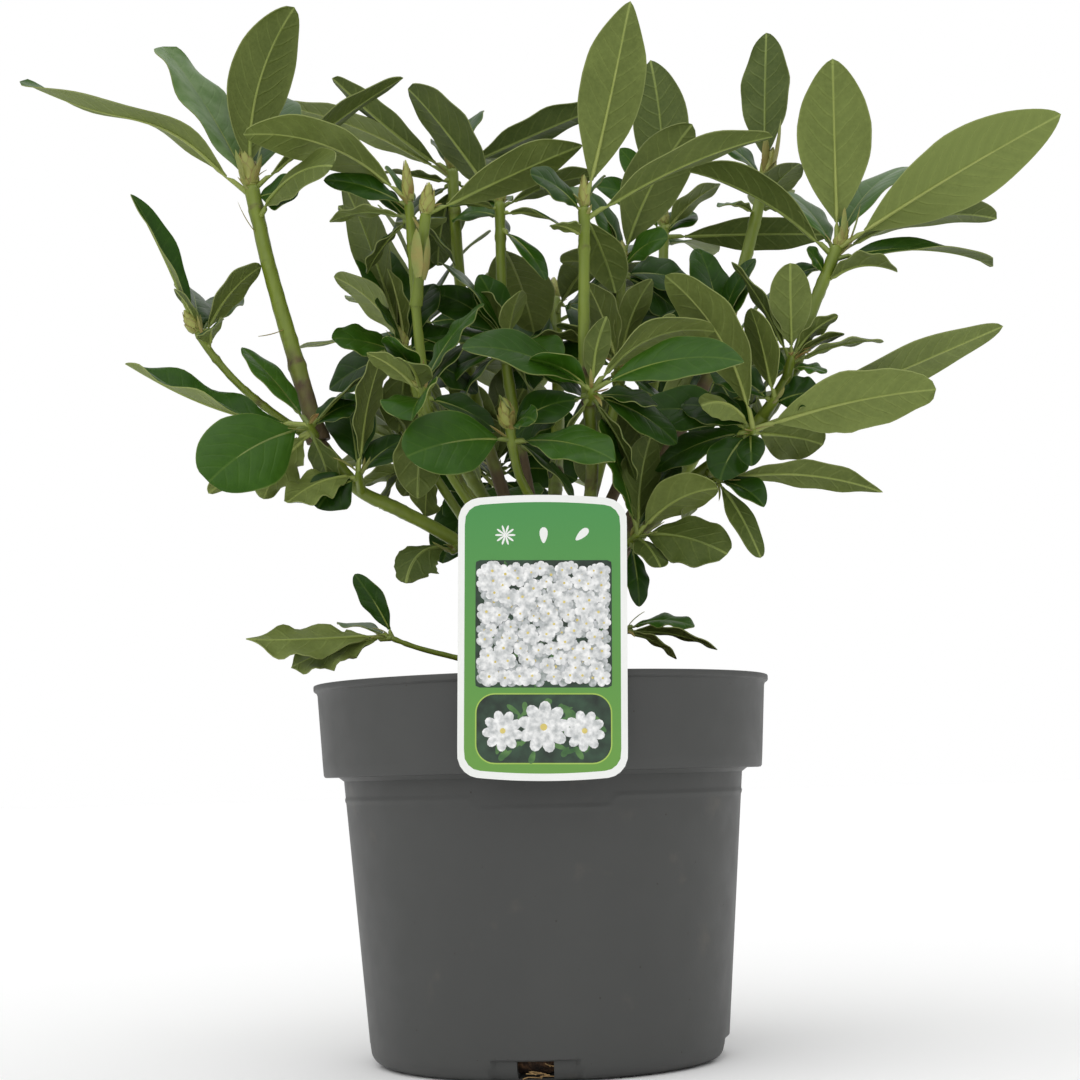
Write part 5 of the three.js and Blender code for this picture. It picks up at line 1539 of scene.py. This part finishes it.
def material(paint):
    """Makes a material from a function that gives its shader's sockets. It has the function's name."""

    def made(*kind):
        new = bpy.data.materials.new("_".join((paint.__name__,) + kind))
        new.use_nodes = True
        tree = new.node_tree
        for socket, source in paint(tree, *kind).items():
            feed(tree, tree.nodes["Principled BSDF"].inputs[socket], source)
        return new

    return made


def object_noise(tree, scale, detail=3.0, stretch=None):
    """Noise on the piece's own coordinates. Scale is in features a metre."""
    place = add(tree, "TexCoord", out="Object")
    if stretch:
        place = add(tree, "Mapping", place, Scale=stretch)
    return add(tree, "TexNoise", place, scale, detail)


def spread(tree, name):
    """The three parts of a vector that the mesh holds at each of its points."""
    return add(tree, "SeparateXYZ", add(tree, "Attribute", attribute_name=name, out="Vector")).node.outputs


def vein_pattern(tree):
    """From the blade's own millimetres: masks for its rib and side veins, and its nearness to the margin."""
    across, along, margin = spread(tree, "blade")
    across = add(tree, "Math", across, operation="ABSOLUTE")
    rib = add(tree, "MapRange", across, 0.8, 0.25, **EASED)
    # Side veins leave the rib at about 60 degrees, 9 mm apart, and curve forwards near the margin.
    curve = add(tree, "Math", add(tree, "Math", across, across, **TIMES), 0.035, **TIMES)
    ahead = add(tree, "Math", add(tree, "Math", across, 0.62, **TIMES), curve, **PLUS)
    wander = add(tree, "Math", object_noise(tree, 70, 2.0), 4.5, **TIMES)
    along = add(tree, "Math", add(tree, "Math", along, ahead, **LESS), wander, **PLUS)
    phase = add(tree, "Math", add(tree, "Math", along, 9.0, operation="DIVIDE"), operation="FRACT")
    apart = add(tree, "Math", add(tree, "Math", phase, 0.5, **LESS), operation="ABSOLUTE")
    inside = add(tree, "MapRange", margin, 0.93, 0.6, **EASED)
    vein = add(tree, "Math", add(tree, "MapRange", apart, 0.13, 0.0, **EASED), inside, **TIMES)
    return rib, vein, margin, add(tree, "Math", apart, inside, **TIMES)


@material
def leaf_upper_face(tree):
    """A leathery evergreen leaf's upper face: dark, waxed and softly glossy, with a sunken pale rib."""
    greens = bpy.context.scene.shrub_foliage
    rib, vein, margin, puckers = vein_pattern(tree)
    light = add(tree, "Math", spread(tree, "tone")[0], 0.6, **TIMES)
    mottle = object_noise(tree, 160, 4.0)
    share = add(tree, "Math", light, add(tree, "Math", mottle, 0.32, **TIMES), **PLUS)
    # The last stop, a pale grey green, is a painted sheen: a leaf top reflecting the sky.
    base = add(tree, "ValToRGB", share, stops=(
        (0.1, greens.top_dark), (0.48, greens.top_middle), (0.82, greens.top_light), (1.0, "#6f8758"),
    ))
    base = add(tree, "Mix", add(tree, "Math", vein, 0.05, **TIMES), base, "#6f8f35", **COLOURS)
    base = add(tree, "Mix", add(tree, "Math", rib, 0.2, **TIMES), base, "#6f8a38", **COLOURS)
    edge = add(tree, "MapRange", margin, 0.955, 1.0, 0.0, 0.38, **EASED)
    puckers = add(tree, "Math", puckers, 0.7, **TIMES)
    height = add(tree, "Math", puckers, add(tree, "Math", vein, 0.25, **TIMES), **LESS)
    grain = add(tree, "Math", object_noise(tree, 500), 0.35, **TIMES)
    height = add(tree, "Math", height, grain, **PLUS)
    gloss = add(tree, "Math", add(tree, "Math", mottle, 0.16, **TIMES), 0.3, **PLUS)
    return {
        "Base Color": add(tree, "Mix", edge, base, "#8fa052", **COLOURS), "Roughness": gloss, "IOR": 1.45,
        "Specular IOR Level": 0.24, "Normal": add(tree, "Bump", Strength=0.7, Distance=0.0004, Height=height),
    }


@material
def leaf_underside(tree):
    """The same leaf from below: matt olive, with its net of veins standing a little proud."""
    greens = bpy.context.scene.shrub_foliage
    rib, vein, margin, puckers = vein_pattern(tree)
    light = add(tree, "Math", spread(tree, "tone")[1], 0.8, **TIMES)
    mottle = add(tree, "Math", object_noise(tree, 520, 5.0), object_noise(tree, 60), **PLUS)
    share = add(tree, "Math", light, add(tree, "Math", mottle, 0.45, **TIMES), **PLUS)
    base = add(tree, "ValToRGB", add(tree, "Math", share, 0.3, **LESS), stops=(
        (0.1, greens.under_dark), (0.55, greens.under_middle), (1.0, greens.under_light),
    ))
    base = add(tree, "Mix", add(tree, "Math", puckers, 0.32, **TIMES), base, "#46561f", **COLOURS)
    base = add(tree, "Mix", add(tree, "Math", vein, 0.12, **TIMES), base, "#93a354", **COLOURS)
    base = add(tree, "Mix", add(tree, "Math", rib, 0.7, **TIMES), base, "#98a65a", **COLOURS)
    edge = add(tree, "MapRange", margin, 0.95, 1.0, 0.0, 0.36, **EASED)
    grain = add(tree, "Math", object_noise(tree, 700), 0.3, **TIMES)
    height = add(tree, "Math", add(tree, "Math", vein, 0.5, **TIMES), grain, **PLUS)
    return {
        "Base Color": add(tree, "Mix", edge, base, "#a5ad6c", **COLOURS), "Roughness": 0.6,
        "Specular IOR Level": 0.3, "Normal": add(tree, "Bump", Strength=0.7, Distance=0.0007, Height=height),
    }


@material
def leaf_rib(tree):
    """A leaf's stalk and midrib: smooth, pale yellow-green and slightly waxy."""
    light = add(tree, "Math", spread(tree, "tone")[2], 0.6, **TIMES)
    mottle = add(tree, "Math", object_noise(tree, 120), 0.4, **TIMES)
    stops = ((0.1, "#55662a"), (0.5, "#84933f"), (1.0, "#a9b062"))
    base = add(tree, "ValToRGB", add(tree, "Math", light, mottle, **PLUS), stops=stops)
    relief = add(tree, "Bump", Distance=0.0002, Height=object_noise(tree, 900))
    return {"Base Color": base, "Roughness": 0.45, "Normal": relief}


@material
def green_bark(tree):
    """Young stems: smooth yellow-green bark with fine streaks, browning as they grow old and at the scars, and
    low on old limbs as painted shade.
    """
    greens = bpy.context.scene.shrub_stems
    # The attribute holds old wood, brown scar rings and the painted shade low on old limbs.
    age = add(tree, "Attribute", attribute_name="age", out="Fac")
    streaks = object_noise(tree, 260, 4.0, (1.0, 1.0, 0.22))
    patches = object_noise(tree, 55)
    fresh = add(tree, "Mix", streaks, greens.green_dark, greens.green_light, **COLOURS)
    fresh = add(tree, "Mix", add(tree, "Math", patches, 0.5, **TIMES), fresh, "#7a8c2c", **COLOURS)
    # The dark brown of old bark also serves as the painted shade low on old limbs.
    old = add(tree, "Mix", streaks, "#33281a", "#6e5c3c", **COLOURS)
    uneven = add(tree, "Math", add(tree, "Math", patches, 0.5, **LESS), 0.9, **TIMES)
    share = add(tree, "MapRange", add(tree, "Math", age, uneven, **PLUS), 0.25, 0.75, **EASED)
    cracks = add(tree, "Math", share, object_noise(tree, 600), **TIMES)
    height = add(tree, "Math", streaks, cracks, **PLUS)
    return {
        "Base Color": add(tree, "Mix", share, fresh, old, **COLOURS),
        "Roughness": add(tree, "Math", add(tree, "Math", share, 0.3, **TIMES), 0.42, **PLUS),
        "Normal": add(tree, "Bump", Strength=0.7, Distance=0.0006, Height=height),
    }


@material
def flaking_bark(tree):
    """Old bark on the trunk: brown, matt and flaking in thin plates."""
    plates = object_noise(tree, 140, 6.0, (1.0, 1.0, 0.3))
    brown = bpy.context.scene.shrub_stems.bark
    base = add(tree, "ValToRGB", plates, stops=((0.3, "#33241a"), (0.5, brown), (0.68, "#8d755c")))
    relief = add(tree, "Bump", Distance=0.0012, Height=plates)
    return {"Base Color": base, "Roughness": 0.85, "Normal": relief}


@material
def bud_scale(tree):
    """Bud scales: pale yellow-green and silky, with dry brown edges and tips."""
    uneven = add(tree, "Math", add(tree, "Math", object_noise(tree, 500), 0.5, **LESS), 0.5, **TIMES)
    edge = add(tree, "Math", spread(tree, "blade")[2], uneven, **PLUS)
    base = add(tree, "ValToRGB", edge, stops=((0.2, "#9da250"), (0.8, "#99994e"), (1.0, "#897a41")))
    relief = add(tree, "Bump", Distance=0.0003, Height=object_noise(tree, 800))
    return {"Base Color": base, "Roughness": 0.5, "Normal": relief}


@material
def dry_bract(tree):
    """Dry bracts among the stalks: papery, from straw to orange-brown."""
    stops = ((0.36, "#87914a"), (0.54, "#958a4a"), (0.72, "#8a6534"))
    base = add(tree, "ValToRGB", object_noise(tree, 60), stops=stops)
    relief = add(tree, "Bump", Distance=0.0003, Height=object_noise(tree, 900))
    return {"Base Color": base, "Roughness": 0.65, "Normal": relief}


@material
def moulded_polypropylene(tree):
    """Recycled polypropylene, injection moulded: dark grey, semi-matt, finely grained and a little dusty."""
    greys = bpy.context.scene.shrub_pot
    cloud = object_noise(tree, 9, 4.0, (1.0, 1.0, 0.35))
    base = add(tree, "Mix", cloud, greys.colour_dark, greys.colour_light, **COLOURS)
    # Only about one cell in twelve holds a speck, at most a millimetre across.
    grit = add(tree, "TexVoronoi", add(tree, "TexCoord", out="Object"), Scale=210.0)
    pick = add(tree, "SeparateColor", grit.node.outputs["Color"])
    chosen = add(tree, "Math", pick, 0.92, operation="GREATER_THAN")
    speck = add(tree, "Math", add(tree, "Math", grit, 0.1, operation="LESS_THAN"), chosen, **TIMES)
    base = add(tree, "Mix", add(tree, "Math", speck, 0.7, **TIMES), base, "#2c2620", **COLOURS)
    dust = add(tree, "MapRange", object_noise(tree, 46, 6.0), 0.62, 0.8, 0.0, 0.22, **EASED)
    grain = object_noise(tree, 1500, 2.0)
    height = add(tree, "Math", grain, add(tree, "Math", speck, 1.5, **TIMES), **PLUS)
    sheen = add(tree, "Math", object_noise(tree, 70, 4.0), 0.2, **TIMES)
    return {
        "Base Color": add(tree, "Mix", dust, base, "#6f675a", **COLOURS), "IOR": 1.49,
        "Roughness": add(tree, "Math", sheen, 0.4, **PLUS),
        "Normal": add(tree, "Bump", Strength=0.5, Distance=0.0001, Height=height),
    }


@material
def potting_mix(tree):
    """Moist peat-free potting mix: dark brown crumbs and fine fibre."""
    grain = object_noise(tree, 330, 8.0)
    base = add(tree, "ValToRGB", grain, stops=((0.32, "#1f150e"), (0.52, "#3f2c1e"), (0.7, "#6b4d33")))
    return {"Base Color": base, "Roughness": 0.95, "Normal": add(tree, "Bump", Distance=0.003, Height=grain)}


@material
def bark_crumb(tree):
    """Composted bark chips: brown, rough and split along the grain."""
    stops = ((0.3, "#2e2016"), (0.5, "#4d3625"), (0.72, "#7a5a3c"))
    base = add(tree, "ValToRGB", object_noise(tree, 120, 5.0), stops=stops)
    relief = add(tree, "Bump", Distance=0.0006, Height=object_noise(tree, 900, 4.0))
    return {"Base Color": base, "Roughness": 0.9, "Normal": relief}


@material
def coir_fibre(tree):
    """Coir and straw: thin pale fibres."""
    base = add(tree, "Mix", object_noise(tree, 150), "#8a6a42", "#c9a972", **COLOURS)
    return {"Base Color": base, "Roughness": 0.7}


@material
def perlite(tree):
    """Perlite: chalky white grains, stained a little by the mix."""
    base = add(tree, "Mix", object_noise(tree, 300), "#b3a893", "#d9d4c6", **COLOURS)
    return {"Base Color": base, "Roughness": 0.9}


# Each printed colour's darkest and lightest tone, and its noise in features a metre. The green is apart.
PRINTED = {
    "white": ("#eef0ec", "#f6f7f4", 20), "shade": ("#16241a", "#33503a", 130),
    "bloom": ("#b2b6b6", "#fdfdfc", 380), "heart": ("#c9b457", "#e4d27c", 200),
    "leaf": ("#2f5a2c", "#5f8a48", 190), "outline": ("#9fc04f", "#a9c85c", 40),
    "far_bloom": ("#85908a", "#dcdde0", 420),
}


@material
def printed_polystyrene(tree, part):
    """Glossy polystyrene sheet, printed. Each printed colour varies a little, as a picture's does."""
    if part == "green":
        greens = bpy.context.scene.shrub_label
        first, second = greens.green_low, greens.green_high
        height = add(tree, "SeparateXYZ", add(tree, "TexCoord", out="Object"), out="Z")
        share = add(tree, "MapRange", height, LABEL_LOW.z, LABEL_HIGH.z)
    else:
        first, second, scale = PRINTED[part]
        share = add(tree, "Math", object_noise(tree, scale), 0.5, **LESS)
        share = add(tree, "Math", share, 2.4, 0.5, operation="MULTIPLY_ADD", use_clamp=True)
    base = add(tree, "Mix", share, first, second, **COLOURS)
    return {"Base Color": base, "Roughness": 0.32, "IOR": 1.55}


@material
def matt_painted_floor(tree):
    """The studio floor: matt white paint."""
    return {
        "Base Color": bpy.context.scene.shrub_stage.floor_colour, "Roughness": 0.9, "Specular IOR Level": 0.1,
    }


# --- stage ------------------------------------------------------------------------------------------------


def light_room(scene, settings):
    """An even white room. What lights the plant is softer than the white wall behind it."""
    world = bpy.data.worlds.new("soft_studio")
    world.use_nodes = True
    tree = world.node_tree
    tree.nodes.clear()
    light = add(tree, "Background", settings.sky_colour, settings.sky_strength)
    wall = add(tree, "Background", settings.sky_colour, 1.0)
    seen = add(tree, "LightPath", out="Is Camera Ray")
    add(tree, "OutputWorld", add(tree, "MixShader", seen, light, wall))
    scene.world = world


def build_stage(settings):
    """A pale floor, soft studio light and the camera."""
    scene = bpy.context.scene
    bm = bmesh.new()
    bmesh.ops.create_circle(bm, cap_ends=True, segments=96, radius=settings.floor_radius)
    bmesh.ops.translate(bm, verts=bm.verts[:], vec=(0, 0, -0.0002))
    mesh = bpy.data.meshes.new("studio_floor")
    bm.to_mesh(mesh)
    bm.free()
    mesh.materials.append(matt_painted_floor())
    floor = placed("studio_floor", mesh)
    light_room(scene, settings)
    lamps = (
        ("skylight", (-0.5, -0.8, 1.6), settings.sky_lamp, 1.6),
        ("far_skylight", (0.6, 0.9, 1.5), settings.back_lamp, 1.2),
    )
    for name, place, strength, softness in lamps:
        lamp = bpy.data.lights.new(name, "SUN")
        lamp.energy = strength
        lamp.angle = softness
        holder = placed(name, lamp)
        holder.location = place
        holder.rotation_euler = (-Vector(place)).to_track_quat("-Z", "Y").to_euler()
    lens = bpy.data.cameras.new("camera")
    lens.sensor_width = 36
    lens.lens = settings.lens
    camera = placed("camera", lens)
    pitch = Matrix.Rotation(math.pi / 2 + settings.pitch, 4, "X")
    roll = Matrix.Rotation(settings.roll, 4, "Z")
    camera.matrix_world = Matrix.Translation(Vector(settings.camera_place)) @ pitch @ roll
    scene.camera = camera
    scene.view_settings.view_transform = "Standard"
    scene.view_settings.look = "None"


# --- settings ---------------------------------------------------------------------------------------------


def colour_setting(name, description, code):
    default = [int(code[i:i + 2], 16) / 255 for i in (1, 3, 5)]
    return bpy.props.FloatVectorProperty(
        name=name, description=description, subtype="COLOR_GAMMA", size=3, min=0, max=1, default=default
    )


def length_setting(name, description, default, low, high):
    return bpy.props.FloatProperty(
        name=name, description=description, default=default, min=low, max=high, unit="LENGTH",
        subtype="DISTANCE",
    )


def number_setting(name, description, default, **more):
    return bpy.props.FloatProperty(name=name, description=description, default=default, **more)


class ShrubPotSettings(bpy.types.PropertyGroup):
    """Sizes and colours of the nursery pot."""

    height: length_setting("Height", "Height of the pot", POT_HIGH.z, 0.1, 0.4)
    lip_radius: length_setting("Lip radius", "Outer radius of the pot's lip", 0.115, 0.05, 0.3)
    wall: length_setting("Wall", "Thickness of the pot's wall", 0.002, 0.001, 0.005)
    facets: bpy.props.IntProperty(
        name="Facets", description="Steps round the pot", default=320, min=64, max=512
    )
    colour_dark: colour_setting("Dark grey", "The darker grey of the moulding", "#393a39")
    colour_light: colour_setting("Light grey", "The lighter grey of the moulding", "#474846")


class ShrubStemSettings(bpy.types.PropertyGroup):
    """Colours of the stems and the trunk."""

    green_dark: colour_setting("Dark green", "Streaks on young stems", "#586b1a")
    green_light: colour_setting("Light green", "Young stems", "#7f8e2b")
    bark: colour_setting("Bark", "Old bark on the trunk", "#5f4a38")


class ShrubFoliageSettings(bpy.types.PropertyGroup):
    """Colours of the leaves."""

    top_dark: colour_setting("Top, dark", "Upper face of the darkest leaves", "#1a3506")
    top_middle: colour_setting("Top, middle", "Upper face of most leaves", "#2b4f09")
    top_light: colour_setting("Top, light", "Upper face of the palest leaves", "#3f6517")
    under_dark: colour_setting("Underside, dark", "Lower face of the darkest leaves", "#46561d")
    under_middle: colour_setting("Underside, middle", "Lower face of most leaves", "#616e30")
    under_light: colour_setting("Underside, light", "Lower face of the palest leaves", "#7a8843")


class ShrubLabelSettings(bpy.types.PropertyGroup):
    """Colours of the plant label."""

    green_high: colour_setting("Green, top", "The label's green at its top", "#45904a")
    green_low: colour_setting("Green, foot", "The label's green at its foot", "#699c3e")


class ShrubStageSettings(bpy.types.PropertyGroup):
    """Floor, light and camera."""

    floor_radius: length_setting("Floor radius", "Radius of the floor", 14.0, 1, 50)
    floor_colour: colour_setting("Floor", "Colour of the floor", "#fafafa")
    sky_colour: colour_setting("Room", "Colour of the light from all round", "#ffffff")
    sky_strength: number_setting("Room light", "Light from all round", 0.6, min=0)
    sky_lamp: number_setting("Skylight", "Soft light from above, W/m2", 1.3, min=0)
    back_lamp: number_setting("Far skylight", "The same, from behind", 0.5, min=0)
    lens: number_setting("Lens", "Focal length in mm", 68.67, min=10)
    pitch: number_setting("Pitch", "Upward tilt", 0.1137, subtype="ANGLE")
    roll: number_setting("Roll", "Tilt of the horizon", -0.0264, subtype="ANGLE")
    camera_place: bpy.props.FloatVectorProperty(
        name="Camera", description="Where the camera stands", default=(0.0016, -1.05, 0.1396), size=3,
        subtype="XYZ", unit="LENGTH",
    )


# --- operators --------------------------------------------------------------------------------------------


class SHRUB_OT_pot(bpy.types.Operator):
    """Make the nursery pot"""

    bl_idname = "shrub.pot"
    bl_label = "Nursery pot"

    def execute(self, context):
        build_pot(context.scene.shrub_pot)
        return {"FINISHED"}


class SHRUB_OT_mix(bpy.types.Operator):
    """Make the potting mix and its crumbs"""

    bl_idname = "shrub.mix"
    bl_label = "Potting mix"

    def execute(self, context):
        build_mix()
        build_crumbs()
        return {"FINISHED"}


class SHRUB_OT_label(bpy.types.Operator):
    """Make the plant label"""

    bl_idname = "shrub.label"
    bl_label = "Plant label"

    def execute(self, context):
        build_label()
        return {"FINISHED"}


class SHRUB_OT_stems(bpy.types.Operator):
    """Make the trunk, the boughs and the twigs"""

    bl_idname = "shrub.stems"
    bl_label = "Trunk and boughs"

    def execute(self, context):
        build_trunk()
        build_boughs()
        return {"FINISHED"}


class SHRUB_OT_leaves(bpy.types.Operator):
    """Make the leaves"""

    bl_idname = "shrub.leaves"
    bl_label = "Leaves"

    def execute(self, context):
        for piece in PIECES:
            build_leaves(piece)
        return {"FINISHED"}


class SHRUB_OT_buds(bpy.types.Operator):
    """Make the buds and bracts"""

    bl_idname = "shrub.buds"
    bl_label = "Buds and bracts"

    def execute(self, context):
        build_buds()
        return {"FINISHED"}


class SHRUB_OT_stage(bpy.types.Operator):
    """Make the floor, the light and the camera"""

    bl_idname = "shrub.stage"
    bl_label = "Stage"

    def execute(self, context):
        build_stage(context.scene.shrub_stage)
        return {"FINISHED"}


OPERATORS = (
    SHRUB_OT_pot, SHRUB_OT_mix, SHRUB_OT_label, SHRUB_OT_stems, SHRUB_OT_leaves, SHRUB_OT_buds,
    SHRUB_OT_stage,
)
SETTINGS = {
    "shrub_pot": ShrubPotSettings, "shrub_stems": ShrubStemSettings, "shrub_foliage": ShrubFoliageSettings,
    "shrub_label": ShrubLabelSettings, "shrub_stage": ShrubStageSettings,
}


class SHRUB_PT_parts(bpy.types.Panel):
    """The shrub's parts and what can be set on each"""

    bl_idname = "SHRUB_PT_parts"
    bl_label = "Potted shrub"
    bl_space_type = "VIEW_3D"
    bl_region_type = "UI"
    bl_category = "Shrub"

    def draw(self, context):
        for operator in OPERATORS:
            self.layout.operator(operator.bl_idname)
        for name, group in SETTINGS.items():
            box = self.layout.box()
            for field in group.__annotations__:
                box.prop(getattr(context.scene, name), field)


def register():
    for group in SETTINGS.values():
        bpy.utils.register_class(group)
    for name, group in SETTINGS.items():
        setattr(bpy.types.Scene, name, bpy.props.PointerProperty(type=group))
    for operator in OPERATORS:
        bpy.utils.register_class(operator)
    bpy.utils.register_class(SHRUB_PT_parts)


def unregister():
    bpy.utils.unregister_class(SHRUB_PT_parts)
    for operator in reversed(OPERATORS):
        bpy.utils.unregister_class(operator)
    for name, group in SETTINGS.items():
        delattr(bpy.types.Scene, name)
        bpy.utils.unregister_class(group)


def main():
    register()
    bpy.ops.shrub.stage()
    bpy.ops.shrub.pot()
    bpy.ops.shrub.mix()
    bpy.ops.shrub.label()
    bpy.ops.shrub.stems()
    bpy.ops.shrub.leaves()
    bpy.ops.shrub.buds()


if __name__ == "__main__":
    main()
